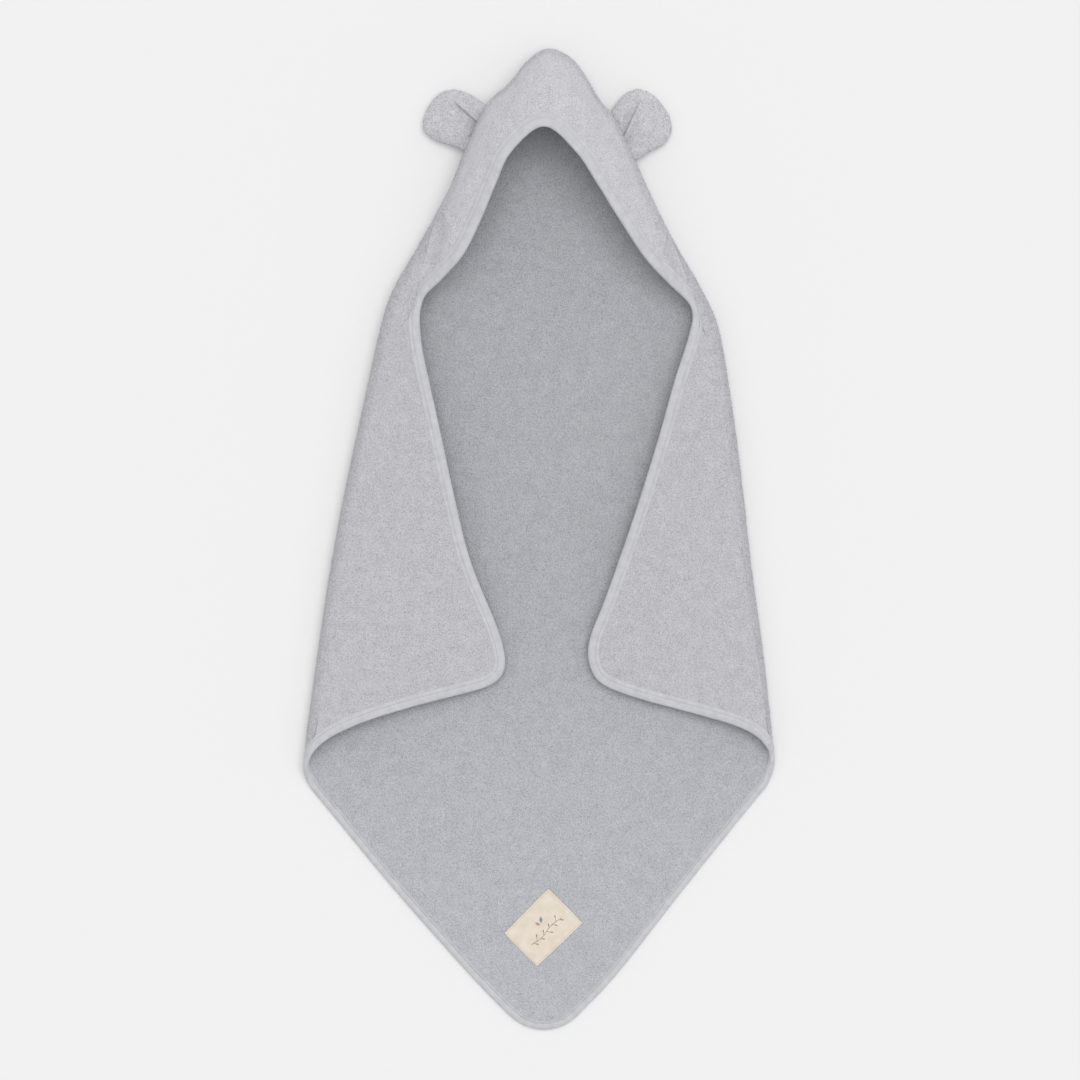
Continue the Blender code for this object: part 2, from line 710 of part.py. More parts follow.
def build():
    """Make every piece of the towel."""
    clear_scene()
    towel = bpy.data.collections.new("hooded_baby_towel")
    bpy.context.scene.collection.children.link(towel)
    terry = ((0.53, 0.54, 0.57), 0.95)
    inner_terry = ((0.42, 0.43, 0.45), 0.95)
    tape = ((0.60, 0.61, 0.64), 0.85)

    left_edge, hood_edge, right_edge = whole_rim()
    lower = moved_left(through(scaled(LOWER_EDGE)), NOSE)
    outlines = outline_sides()
    edges = {"left": left_edge, "right": right_edge}
    sides = {name: Side(name, outlines[name], edges[name]) for name in SIDES}
    rows = back_rows(sides, lower)

    kinds = [row.kind for row in rows["left"]]
    first_curl = kinds.index("curl")
    in_side = kinds.index("edge") + PART_ROWS_PAST_CURL
    halves = {name: back_grid(rows[name]) for name in SIDES}
    middle = [middle_grid(halves[name], in_side) for name in SIDES]
    back = loft_mesh("back_panel", middle, left_out=(in_side, PART_COLUMN))
    add_piece(towel, "back_panel", back, CLOTH, inner_terry)
    for name in SIDES:
        rolled = loft_mesh(name + "_side", [side_grid(halves[name], in_side)])
        add_piece(towel, name + "_side", rolled, CLOTH, inner_terry)

    around = np.vstack([halves["left"][first_curl:], halves["right"][first_curl:-1][::-1]])
    lower_tape = loft_mesh("lower_binding", [tape_grid(around, -1)])
    add_piece(towel, "lower_binding", lower_tape, TAPE, tape)

    hood = hood_grid(rows, hood_edge)
    add_piece(towel, "hood_panel", loft_mesh("hood_panel", [hood]), CLOTH, terry)
    hood_tape = loft_mesh("hood_binding", [tape_grid(hood, 1)])
    add_piece(towel, "hood_binding", hood_tape, TAPE, tape)

    for name, side in sides.items():
        grid = wing_grid(side, edges[name])
        head = fold_line(side)[0]
        wing = add_piece(towel, name + "_flap", loft_mesh(name + "_flap", [grid]), CLOTH, terry)
        set_pivot(wing, head)
        strip = loft_mesh(name + "_flap_binding", [tape_grid(grid, side.sign)])
        binding = add_piece(towel, name + "_flap_binding", strip, TAPE, tape)
        set_pivot(binding, head)

        base = ear_frame(side)[0]
        height = MIDDLE + side.head_roll * EAR_BASE_SHARE
        for layer, face in ((1, "front"), (-1, "back")):
            piece = name + "_ear_" + face
            sheet = loft_mesh(piece, [ear_grid(side, layer, height)])
            ear = add_piece(towel, piece, sheet, CLOTH, terry)
            set_pivot(ear, (base[0], base[1], height))
    add_label(towel)


build()
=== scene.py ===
# %% [markdown]
# # A hooded baby towel, laid out flat
#
# The towel is one square of grey terry cloth. Its top corner carries a sewn-on hood with
# two round ears, and its two side corners are folded in over the middle as wings. Every
# free edge is bound with a smooth knitted tape, and a small cotton label is sewn on near
# the bottom corner. This file builds the look of each piece around the fixed frame: the
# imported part, with its bodies and joints.

# %% The frame and its size
import math

import bmesh
import bpy
import numpy as np
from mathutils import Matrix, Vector, noise
from mathutils.bvhtree import BVHTree


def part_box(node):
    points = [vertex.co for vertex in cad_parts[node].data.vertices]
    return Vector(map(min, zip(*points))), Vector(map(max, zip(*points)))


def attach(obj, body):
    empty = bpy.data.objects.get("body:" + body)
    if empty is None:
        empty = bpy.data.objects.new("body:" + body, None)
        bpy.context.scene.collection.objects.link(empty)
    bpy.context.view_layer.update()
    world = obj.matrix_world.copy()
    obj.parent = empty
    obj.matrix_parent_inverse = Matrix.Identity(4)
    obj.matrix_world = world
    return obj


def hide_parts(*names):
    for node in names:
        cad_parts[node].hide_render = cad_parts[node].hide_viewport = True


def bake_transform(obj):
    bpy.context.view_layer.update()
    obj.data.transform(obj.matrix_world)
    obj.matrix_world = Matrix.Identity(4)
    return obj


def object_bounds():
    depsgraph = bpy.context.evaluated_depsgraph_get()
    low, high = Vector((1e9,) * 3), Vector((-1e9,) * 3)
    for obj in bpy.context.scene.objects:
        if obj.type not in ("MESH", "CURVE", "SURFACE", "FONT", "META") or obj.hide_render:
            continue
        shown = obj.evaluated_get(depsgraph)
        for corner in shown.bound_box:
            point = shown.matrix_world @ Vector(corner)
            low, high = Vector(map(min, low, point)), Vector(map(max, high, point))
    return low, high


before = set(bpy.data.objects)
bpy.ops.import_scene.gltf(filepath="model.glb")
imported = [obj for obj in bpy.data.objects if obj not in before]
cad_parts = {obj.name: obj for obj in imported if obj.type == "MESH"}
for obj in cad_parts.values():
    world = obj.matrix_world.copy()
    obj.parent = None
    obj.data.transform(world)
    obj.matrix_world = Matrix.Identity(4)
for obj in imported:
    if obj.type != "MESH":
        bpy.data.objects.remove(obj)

CAD_LOW, CAD_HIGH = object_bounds()
HALF_WIDTH = (CAD_HIGH.x - CAD_LOW.x) / 2
HALF_LENGTH = (CAD_HIGH.y - CAD_LOW.y) / 2
CENTRE = np.array([(CAD_HIGH.x + CAD_LOW.x) / 2, (CAD_HIGH.y + CAD_LOW.y) / 2])
LENGTH = 2 * HALF_LENGTH
print("the towel lies on", round(2 * HALF_WIDTH, 3), "by", round(LENGTH, 3), "metres")

# %% [markdown]
# ## Sizes of the cloth and the tape
#
# Terry for babies is about 3 mm thick with its loops. A binding tape covers 6 to 12 mm of
# the cloth on each side, and a little more shows round its nose. The cloth's heights follow
# the frame's nodes.

# %% Sizes
CLOTH = 0.0030
TAPE = 0.0008
TAPE_WIDTH = 0.0092
HOOD_TAPE_WIDTH = 0.0115
LOWER_TAPE_WIDTH = 0.0060
TAPE_GAP = 0.0007
TAPE_REACH = CLOTH / 2 + 0.0008
MIDDLE = CAD_LOW.z + CLOTH / 2
TIP_ROLL = 0.0090
HOOD_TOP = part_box("hood_panel")[1].z - CLOTH - CAD_LOW.z
FOLD_TOP = {"left": 0.0280, "right": 0.0215}
FOLD_FOOT = {"left": 0.0200, "right": 0.0170}
SLOPE_HEAD = 0.20
SLOPE_FOOT = 0.05
SLOPE_EASE = 0.45
SIGN = {"left": -1, "right": 1}
SIDES = ("left", "right")

# %% [markdown]
# ## The outline
#
# A cloth's edge is a soft curve with no corners, so a few points along it and a
# Catmull-Rom curve through them are enough. Each point is a share of the towel's half
# width and half length. The rim, which is the free edge of the wings and the hood, also
# has a height, because it stands up from the back like a low wall round a bowl.

# %% Outline points
OUTLINE = {
    "left": [
        (0.032, 1.000), (-0.049, 0.976), (-0.125, 0.931), (-0.227, 0.884),
        (-0.316, 0.792), (-0.372, 0.724), (-0.427, 0.673), (-0.520, 0.592),
        (-0.618, 0.510), (-0.673, 0.429), (-0.749, 0.265), (-0.822, 0.102),
        (-0.885, -0.061), (-0.936, -0.224), (-0.983, -0.388), (-1.000, -0.480),
    ],
    "right": [
        (0.032, 1.000), (0.113, 0.988), (0.180, 0.955), (0.253, 0.896),
        (0.321, 0.857), (0.397, 0.780), (0.499, 0.673), (0.588, 0.592),
        (0.686, 0.510), (0.758, 0.429), (0.817, 0.265), (0.860, 0.102),
        (0.898, -0.061), (0.945, -0.224), (0.983, -0.388), (1.000, -0.480),
    ],
}
RIM = {
    "left": [
        (-0.953, -0.429, 0.0200), (-0.885, -0.402, 0.0215), (-0.732, -0.369, 0.0205),
        (-0.529, -0.339, 0.0165), (-0.325, -0.314, 0.0130), (-0.223, -0.300, 0.0115),
        (-0.168, -0.284, 0.0110), (-0.142, -0.257, 0.0115), (-0.155, -0.210, 0.0130),
        (-0.189, -0.163, 0.0155), (-0.291, -0.041, 0.0220), (-0.355, 0.082, 0.0270),
        (-0.410, 0.204, 0.0300), (-0.461, 0.316, 0.0320), (-0.499, 0.408, 0.0325),
        (-0.495, 0.484, 0.0325),
    ],
    "right": [
        (0.966, -0.424, 0.0170), (0.919, -0.400, 0.0180), (0.826, -0.378, 0.0175),
        (0.648, -0.353, 0.0145), (0.444, -0.327, 0.0120), (0.304, -0.304, 0.0110),
        (0.231, -0.280, 0.0110), (0.202, -0.233, 0.0120), (0.219, -0.188, 0.0140),
        (0.274, -0.122, 0.0175), (0.393, 0.041, 0.0230), (0.499, 0.204, 0.0255),
        (0.571, 0.327, 0.0255), (0.631, 0.418, 0.0245), (0.643, 0.471, 0.0240),
    ],
}
HOOD_RIM = [
    (-0.495, 0.484), (-0.406, 0.531), (-0.316, 0.580), (-0.240, 0.653), (-0.180, 0.722),
    (-0.117, 0.784), (0.019, 0.835), (0.151, 0.784), (0.236, 0.724), (0.329, 0.653),
    (0.444, 0.571), (0.541, 0.522), (0.643, 0.471),
]
LOWER_EDGE = [
    (-0.966, -0.510), (-0.894, -0.551), (-0.614, -0.714), (-0.312, -0.878),
    (-0.159, -0.955), (-0.079, -0.988), (0.019, -1.000), (0.117, -0.988),
    (0.197, -0.953), (0.342, -0.878), (0.609, -0.714), (0.881, -0.551), (0.966, -0.502),
]
SEAM_LEAVES_SIDE = {"left": 0.680, "right": 0.633}
FOLD_HEAD = {"left": (-0.606, 0.418), "right": (0.710, 0.408)}
EAR_BASE = {"left": (0.884, 0.792), "right": (0.857, 0.780)}

# %% Curve helpers
CURVE_STEPS = 20


def scaled(points):
    """Outline shares as metres. A third value is already a height in metres."""
    half = np.array([HALF_WIDTH, HALF_LENGTH, 1.0])
    shift = np.array([*CENTRE, 0.0])
    return np.array([np.array(p) * half[:len(p)] + shift[:len(p)] for p in points])


def through(points, per_span=CURVE_STEPS):
    """A smooth curve through the points."""
    ends = np.vstack([2 * points[0] - points[1], points, 2 * points[-1] - points[-2]])
    curve = []
    for i in range(1, len(ends) - 2):
        a, b, c, d = ends[i - 1:i + 3]
        for t in np.arange(per_span) / per_span:
            cubic = 2 * b + (c - a) * t + (2 * a - 5 * b + 4 * c - d) * t ** 2
            curve.append(0.5 * (cubic + (3 * b - a - 3 * c + d) * t ** 3))
    curve.append(points[-1])
    return np.array(curve)


def lengths_along(curve):
    """Distance along a curve at each of its points."""
    steps = np.linalg.norm(np.diff(curve, axis=0), axis=1)
    return np.concatenate([[0.0], np.cumsum(steps)])


def at_lengths(curve, wanted):
    """Points of a curve at the wanted distances along it."""
    along = lengths_along(curve)
    return np.array([np.interp(wanted, along, column) for column in curve.T]).T


def resampled(curve, count):
    """The same curve as count points, evenly spaced along it."""
    return at_lengths(curve, np.linspace(0.0, lengths_along(curve)[-1], count))


def moved_left(curve, distance):
    """The curve shifted to its own left in plan."""
    tangent = np.gradient(curve[:, :2], axis=0)
    tangent /= np.linalg.norm(tangent, axis=1)[:, None]
    shifted = curve.copy()
    shifted[:, 0] -= tangent[:, 1] * distance
    shifted[:, 1] += tangent[:, 0] * distance
    return shifted


def unit(vector):
    """The vector at length one."""
    return vector / np.linalg.norm(vector)


def smooth(t):
    """An even rise from 0 to 1."""
    t = np.clip(t, 0.0, 1.0)
    return t * t * (3 - 2 * t)


def x_at(curve, y):
    """The curve's x where it passes the given y."""
    order = np.argsort(curve[:, 1])
    return float(np.interp(y, curve[order, 1], curve[order, 0]))


# %% The rim, split into wing, hood and wing
NOSE = CLOTH / 2 + TAPE + TAPE_GAP


def whole_rim():
    """The cloth's free edge, just inside the tape."""
    left = scaled(RIM["left"])
    right = scaled(RIM["right"])[::-1]
    arch = scaled(HOOD_RIM)
    share = np.linspace(-1.0, 1.0, len(arch))
    corner = np.where(share < 0, left[-1, 2], right[0, 2])
    height = corner + (HOOD_TOP - corner) * np.cos(share * math.pi / 2)
    arch = np.column_stack([arch, height])
    edge = moved_left(through(np.vstack([left, arch[1:-1], right])), NOSE)
    first = (len(left) - 1) * CURVE_STEPS
    second = (len(left) + len(arch) - 2) * CURVE_STEPS
    return {"left": edge[:first + 1], "hood": edge[first:second + 1], "right": edge[second:]}


RIM_CURVES = whole_rim()
LOWER_CURVE = moved_left(through(scaled(LOWER_EDGE)), NOSE)
print("rim", round(sum(lengths_along(c)[-1] for c in RIM_CURVES.values()), 3), "m long")

# %% [markdown]
# ## How the back and its rolled sides are shaped
#
# The back lies flat. At each side the cloth rolls up and over, and the top of the roll is
# the straight fold line on which the wing turns. Each row of the back is therefore a
# straight run followed by an arc. A formula gives any point of a row from its distance
# back from the row's end, and that distance is measured along the cloth, so the tape and
# the stitches can later be laid on the same rows.

# %% Outline of both sides, as one curve over the tip of the hood


def both_outlines():
    """The middle of the cloth down each side, starting at the tip."""
    left, right = scaled(OUTLINE["left"]), scaled(OUTLINE["right"])
    whole = through(np.vstack([left[::-1], right[1:]]))
    inner = moved_left(whole, -CLOTH / 2)
    tip = (len(left) - 1) * CURVE_STEPS
    return {"left": inner[:tip + 1][::-1], "right": inner[tip:]}


OUTLINE_CURVES = both_outlines()

# %% One side of the towel


class Side:
    """One side of the towel: its outline, its fold line and the heights along it."""

    def __init__(self, name):
        self.name = name
        self.sign = SIGN[name]
        self.outline = OUTLINE_CURVES[name]
        edge = RIM_CURVES[name] if name == "left" else RIM_CURVES[name][::-1]
        self.foot, self.corner = edge[0], edge[-1]
        self.head = scaled([FOLD_HEAD[name]])[0]
        self.seam_top = SEAM_LEAVES_SIDE[name] * HALF_LENGTH + CENTRE[1]
        self.fold = unit(self.foot[:2] - self.head)
        self.fold_length = np.linalg.norm(self.foot[:2] - self.head)
        self.inward = np.array([self.fold[1], -self.fold[0]])
        self.inward *= -np.sign(self.inward[0]) * self.sign
        self.foot_wrap = 0.0
        self.head_roll = self.roll_at(self.head, 0.0)

    def fold_height(self, along):
        """Height of the fold line, straight from its head to its foot."""
        top = FOLD_TOP[self.name]
        return top + (FOLD_FOOT[self.name] - top) * along / self.fold_length

    def fold_tilt(self, along):
        """Upward slope of the cloth as it leaves the fold towards the middle."""
        share = smooth(along / (SLOPE_EASE * self.fold_length))
        return math.atan(SLOPE_HEAD + (SLOPE_FOOT - SLOPE_HEAD) * share)

    def roll_at(self, point, along):
        """Radius of the rolled side that brings the cloth to the fold line's height."""
        inset = abs(point[0] - x_at(self.outline, point[1]))
        tilt = self.fold_tilt(along)
        rise = self.fold_height(along) - inset * math.tan(tilt)
        return rise / (1 + math.cos(tilt) - (1 - math.sin(tilt)) * math.tan(tilt))


SIDE = {name: Side(name) for name in SIDES}


# %% One row of the back
BOUND_REACH = 0.045
BOUND_RISE = 0.035
SEAM_BEND = 1.5
HEADING_STEP = 0.0005


def inset_to_line(start, inward, a, b):
    """Distance from start along inward to the line through a and b."""
    across = b - a
    normal = np.array([-across[1], across[0]])
    return float(np.dot(a - start, normal) / np.dot(inward, normal))


def wrapped_length(inset, roll, tilt):
    """Cloth from the flat's end, round the roll, to a point inset from the side."""
    before_top = roll * (1 - math.sin(tilt))
    if inset <= before_top:
        return roll * (math.pi - math.asin(np.clip(1 - inset / roll, -1, 1)))
    return roll * (math.pi - tilt) + (inset - before_top) / math.cos(tilt)


class BackRow:
    """One row of the back: flat from the middle line, then round the roll."""

    def __init__(self, side, kind, point, roll, extra, middle):
        out = point - middle
        reach = np.linalg.norm(out)
        self.side, self.kind, self.middle = side, kind, middle
        self.out = out / reach
        self.roll = roll
        self.tilt = 0.0
        self.lift = 0.0
        if kind == "tip":
            self.flat = reach - roll
            self.wrap = roll * math.pi / 2
        elif kind in ("seam", "cut", "fold"):
            self.flat = reach - roll
            self.tilt = side.fold_tilt(extra if kind == "fold" else 0.0)
            self.wrap = wrapped_length(self.inset(point), roll, self.tilt)
        else:
            self.flat = reach
            self.tilt = side.fold_tilt(side.fold_length)
            self.wrap = side.foot_wrap * extra if kind == "curl" else 0.0
            lift = TAPE + TAPE_GAP
            self.lift = lift * min(1.0, 2 * (1 - extra)) if kind == "curl" else lift

    def inset(self, point):
        """Distance in plan from the side of the towel to this row's end."""
        side = self.side
        corner = side.corner[:2]
        if self.kind == "fold":
            return inset_to_line(point, -self.out, side.head, side.foot[:2])
        if self.kind == "cut":
            return inset_to_line(point, -self.out, corner, side.head)
        full = abs(corner[0] - x_at(side.outline, corner[1]))
        share = (side.seam_top - point[1]) / (side.seam_top - corner[1])
        return full * np.clip(share, 0.0, 1.0) ** SEAM_BEND

    def length(self):
        """Cloth length of the row, from the middle line to its end."""
        return self.flat + self.wrap

    def at(self, from_end):
        """The point of the cloth at a distance back from the row's end."""
        along = max(self.length() - from_end, 0.0)
        lift = self.lift * smooth((along - self.length() + BOUND_REACH) / BOUND_RISE)
        past = along - self.flat
        arc = self.roll * (math.pi - self.tilt)
        if past <= 0:
            across, height = along, 0.0
        elif past <= arc:
            across = self.flat + self.roll * math.sin(past / self.roll)
            height = self.roll * (1 - math.cos(past / self.roll))
        else:
            run = past - arc
            across = self.flat + self.roll * math.sin(self.tilt) - run * math.cos(self.tilt)
            height = self.roll * (1 + math.cos(self.tilt)) + run * math.sin(self.tilt)
        plan = self.middle + self.out * across
        return np.array([plan[0], plan[1], MIDDLE + height + lift])

    def heading(self):
        """Direction in which the cloth leaves the row's end."""
        return unit(self.at(0.0) - self.at(HEADING_STEP))


# %% Rows down both sides
ROWS = {"tip": 70, "seam": 30, "cut": 12, "fold": 130, "curl": 40, "edge": 120}
EVEN_SHARE = 0.36
DRAWN_IN = 0.70


def side_rows(side, lower):
    """Rows down one side, each as kind, start, roll and share or distance."""
    outline = side.outline
    seam_row = int(np.argmax(outline[:, 1] <= side.seam_top))
    tip = resampled(outline[:seam_row + 1], ROWS["tip"])
    seam_y = np.linspace(tip[-1, 1], side.corner[1], ROWS["seam"] + 1)[1:]
    cut_y = np.linspace(side.corner[1], side.head[1], ROWS["cut"] + 1)[1:]
    fold_y = np.linspace(side.head[1], side.foot[1], ROWS["fold"] + 1)[1:]
    edge = resampled(lower, ROWS["edge"])
    rows = []
    for i, point in enumerate(tip):
        grown = smooth(i / (ROWS["tip"] - 1))
        rows.append(("tip", point, TIP_ROLL + (side.head_roll - TIP_ROLL) * grown, 0.0))
    for kind, ys in (("seam", seam_y), ("cut", cut_y[:-1])):
        for y in ys:
            rows.append((kind, np.array([x_at(outline, y), y]), side.head_roll, 0.0))
    for y in np.concatenate([cut_y[-1:], fold_y]):
        share = (y - side.head[1]) / (side.foot[1] - side.head[1])
        on_fold = side.head + (side.foot[:2] - side.head) * share
        along = np.linalg.norm(on_fold - side.head)
        point = np.array([x_at(outline, y), y])
        rows.append(("fold", point, side.roll_at(on_fold, along), along))
    foot_flat = rows[-1][1] - np.array([side.sign * rows[-1][2], 0.0])
    for i in range(1, ROWS["curl"]):
        share = i / ROWS["curl"]
        flat_end = foot_flat + (edge[0, :2] - foot_flat) * share
        rows.append(("curl", flat_end, rows[-1][2], 1 - share))
    for point in edge:
        rows.append(("edge", point[:2], rows[-1][2], 0.0))
    return rows


def middle_of(y):
    """Start of the row whose end is at y: on the middle line, drawn in near both tips."""
    even = EVEN_SHARE * LENGTH
    start = np.sign(y) * (min(abs(y), even) + DRAWN_IN * np.clip(abs(y) - even, 0, None))
    tip = OUTLINE["left"][0][0] * HALF_WIDTH
    bottom = LOWER_EDGE[len(LOWER_EDGE) // 2][0] * HALF_WIDTH
    return np.array([bottom + (tip - bottom) * (start / LENGTH + 0.5), start])


def back_rows():
    """Matching rows for both sides, sharing their points on the middle line."""
    half = len(LOWER_CURVE) // 2
    lower = {"left": LOWER_CURVE[:half + 1], "right": LOWER_CURVE[half:][::-1]}
    plans = [side_rows(SIDE[name], lower[name]) for name in SIDES]
    rows = {"left": [], "right": []}
    for pair in zip(*plans):
        middle = middle_of((pair[0][1][1] + pair[1][1][1]) / 2)
        for name, (kind, point, roll, extra) in zip(SIDES, pair):
            row = BackRow(SIDE[name], kind, point, roll, extra, middle)
            rows[name].append(row)
            if kind == "fold":
                SIDE[name].foot_wrap = row.wrap
    return rows


BACK = back_rows()
print("the back has", len(BACK["left"]), "rows on each side")

# %% [markdown]
# ## Life in the cloth
#
# Cloth that has been laid out by hand is never quite even: it lifts a little here and
# there, more where it is free than where it lies on the table. One smooth function of
# position gives that lift. Neighbouring pieces use the same function, so they still meet
# at their seams.

# %% The lift of the cloth at a point
RIPPLE_LENGTH = 0.055
RIPPLE_HELD, RIPPLE_FREE, FREE_HEIGHT = 0.0002, 0.0009, 0.020
MOTTLE_LENGTH, MOTTLE_HEIGHT = 0.0085, 0.00016
CROWN = np.array([0.004, 0.430])
CROWN_FLAT, CROWN_FOOT, CROWN_TOP = 1.25, 0.035, 0.060
CROWN_RADIUS, CROWN_FADE = 0.085, 0.03
RING_APART, RING_HEIGHT = 0.0115, 0.0003


def lift_at(point):
    """How far the cloth at a point stands above its even shape.

    The hood's crown also has faint rings, as its pile parts round the tip.
    """
    free = smooth((point[2] - MIDDLE) / FREE_HEIGHT)
    slow = noise.noise(Vector(point * [1, 1, 0]) / RIPPLE_LENGTH)
    quick = noise.noise(Vector(point) / MOTTLE_LENGTH + Vector((7.0, 3.0, 0.0)))
    up = (RIPPLE_HELD + RIPPLE_FREE * free) * slow + MOTTLE_HEIGHT * quick
    ring = np.linalg.norm((point[:2] - CROWN) * [1.0, CROWN_FLAT])
    high = smooth((point[2] - CROWN_FOOT) / (CROWN_TOP - CROWN_FOOT))
    near = smooth((CROWN_RADIUS - ring) / CROWN_FADE)
    return up + RING_HEIGHT * (high * near) * math.sin(ring / RING_APART * 2 * math.pi)


def lived_in(grid):
    """A grid of points with the lift added, kept off the table."""
    flat = grid.reshape(-1, 3).copy()
    for point in flat:
        point[2] = max(point[2] + lift_at(point), MIDDLE)
    return flat.reshape(grid.shape)


# %% [markdown]
# ## The wings and the hood as sections
#
# A wing and the hood are each one curved sheet. Each is made as sections: a Bezier curve
# that leaves the fold or the seam in the direction the cloth leaves it, and arrives at
# the free edge level. Rows of such sections give one continuous sheet with no flat spots.

# %% Sections between a seam or fold and the free edge
WING_SECTIONS = 200
WING_FOOT = 0.030
WING_EASE = 0.18
WING_ARRIVES = [0.0, 0.09, 0.91, 1.0], [0.10, -0.16, -0.16, 0.0]
HOOD_SECTIONS = 330
HOOD_EASE = 0.10
HOOD_ARRIVES = 0.08
SEAM_ROWS_SPARED = 6
SEAM_STEP = 0.0003
BEND_REACH = 0.36
STEEP_REACH = 0.19
BEND_STEPS = 61


def bezier(start, leave, end, arrive):
    """A section of cloth that leaves and arrives along two directions."""
    chord = end - start
    size = np.linalg.norm(chord)
    a = start + leave * (BEND_REACH * size + STEEP_REACH * abs(chord[2]) * abs(leave[2]))
    b = end - arrive * BEND_REACH * size
    t = np.linspace(0.0, 1.0, BEND_STEPS)[:, None]
    near = (1 - t) ** 3 * start + 3 * (1 - t) ** 2 * t * a
    return near + 3 * (1 - t) * t ** 2 * b + t ** 3 * end


class Section:
    """One section of a wing or the hood, measured back from the free edge."""

    def __init__(self, base, leave, rim, slope):
        chord = rim - base
        level = unit(np.array([chord[0], chord[1], 0.0]))
        arrive = unit(level + np.array([0.0, 0.0, slope]))
        self.curve = bezier(base, leave, rim, arrive)[::-1]
        self.size = lengths_along(self.curve)[-1]

    def length(self):
        """Cloth length of the section."""
        return self.size

    def at(self, from_end):
        """The point of the cloth at a distance back from the free edge."""
        return at_lengths(self.curve, [min(from_end, self.size)])[0]


# %% Sections of a wing


def wing_sections(side):
    """Sections of a folded wing, from its head to the foot of the fold."""
    rim = resampled(RIM_CURVES[side.name][::side.sign], WING_SECTIONS)
    rim[:, 2] += MIDDLE
    sections = []
    for i, along in enumerate(np.linspace(0.0, side.fold_length - WING_FOOT, WING_SECTIONS)):
        share = i / (WING_SECTIONS - 1)
        plan = side.head + side.fold * along
        base = np.array([plan[0], plan[1], MIDDLE + side.fold_height(along)])
        square = np.array([*side.inward, math.tan(side.fold_tilt(along))])
        weight = smooth(share / WING_EASE) * smooth((1 - share) / WING_EASE)
        leave = unit(unit(rim[i] - base) * (1 - weight) + unit(square) * weight)
        sections.append(Section(base, leave, rim[i], np.interp(share, *WING_ARRIVES)))
    return sections


# %% Sections of the hood


def hood_sections():
    """Sections of the hood, from the left end of its seam over the top to the right."""
    seam, ways = [], []
    for name in SIDES:
        kept = [row for row in BACK[name] if row.kind in ("tip", "seam")][:-SEAM_ROWS_SPARED]
        ends = [row.at(0.0) + row.heading() * SEAM_STEP for row in kept]
        heads = [row.heading() for row in kept]
        if name == "left":
            seam, ways = ends[::-1], heads[::-1]
        else:
            seam, ways = seam + ends[1:], ways + heads[1:]
    seam, ways = np.array(seam), np.array(ways)
    along = lengths_along(seam)
    wanted = np.linspace(0.0, along[-1], HOOD_SECTIONS)
    base = at_lengths(seam, wanted)
    ways = np.array([np.interp(wanted, along, column) for column in ways.T]).T
    rim = resampled(RIM_CURVES["hood"], HOOD_SECTIONS + 4)[2:-2]
    rim[:, 2] += MIDDLE
    sections = []
    for i in range(HOOD_SECTIONS):
        share = min(i, HOOD_SECTIONS - 1 - i) / (HOOD_SECTIONS - 1)
        weight = smooth(share / HOOD_EASE)
        leave = unit(unit(rim[i] - base[i]) * (1 - weight) + unit(ways[i]) * weight)
        sections.append(Section(base[i], leave, rim[i], HOOD_ARRIVES))
    return sections


WING = {name: wing_sections(SIDE[name]) for name in SIDES}
HOOD = hood_sections()
print("longest hood section", round(max(s.length() for s in HOOD) * 1000), "mm")

# %% [markdown]
# ## From sections to a sheet of cloth
#
# The sections are cut at even steps and joined into a grid of four-sided faces, which is
# then given its 3 mm of thickness by a Solidify modifier. The first steps lie under the
# tape and are finer, so that the tape and the cloth bend alike.

# %% Grids and meshes
TUCK = 0.0012
TUCK_DROP = 0.00012
BAND_MOST, TURN_MOST = 0.3, 0.75
LEAST_TURN, TURN_SPARE = 0.030, 1.15
MERGED = 2e-5


def steps_for(length, band, columns, turned=0.0):
    """Distances back from the edge: two under the tape, and the rest over the cloth."""
    band = min(band, BAND_MOST * length)
    if turned > band:
        most = min(turned, TURN_MOST * length)
        first = np.linspace(band, most, columns // 2 + 1)[1:]
        rest = np.linspace(most, length, columns - columns // 2 + 1)[1:]
        return np.concatenate([[0.0, band / 2, band], first, rest])
    return np.concatenate([[0.0, band / 2, band], np.linspace(band, length, columns + 1)[1:]])


def grid_of(sections, band, columns, rolled=False, tuck=0.0):
    """Points of a sheet, section by section, from the free edge inwards.

    A tuck carries the sheet a little way on past its fold, just under its neighbour.
    """
    grid = []
    for section in sections:
        turned = max(section.wrap, LEAST_TURN) * TURN_SPARE if rolled else 0.0
        steps = steps_for(section.length(), band, columns, turned)
        row = [section.at(step) for step in steps]
        if tuck:
            onward = unit(row[-1] - row[-2])
            row.append(row[-1] + onward * tuck - np.array([0.0, 0.0, TUCK_DROP]))
        grid.append(row)
    return lived_in(np.array(grid))


# %% Meshes through grids of points


def data_from(mesh, name, shaded=False):
    """A finished mesh as object data, and smoothly shaded if wanted."""
    data = bpy.data.meshes.new(name)
    mesh.to_mesh(data)
    mesh.free()
    if shaded:
        data.shade_smooth()
    return data


def faces_through(grids):
    """A mesh through grids of points. Every second grid is wound the other way round."""
    mesh = bmesh.new()
    for which, points in enumerate(grids):
        verts = [[mesh.verts.new(p) for p in row] for row in points]
        for near, far in zip(verts[:-1], verts[1:]):
            for j in range(len(near) - 1):
                corner = [near[j], far[j], far[j + 1], near[j + 1]]
                mesh.faces.new(corner[::-1] if which % 2 else corner)
    bmesh.ops.remove_doubles(mesh, verts=mesh.verts, dist=MERGED)
    return mesh


def mesh_from_grids(name, grids, inner_up=None):
    """A sheet through grids of points, turned so that its inner face is up or down."""
    mesh = faces_through(grids)
    mesh.normal_update()
    faces_up = sum(f.normal.z * f.calc_area() for f in mesh.faces) > 0
    if inner_up is not None and faces_up != inner_up:
        bmesh.ops.reverse_faces(mesh, faces=mesh.faces)
    return data_from(mesh, name)


# %% Objects with a material and a thickness


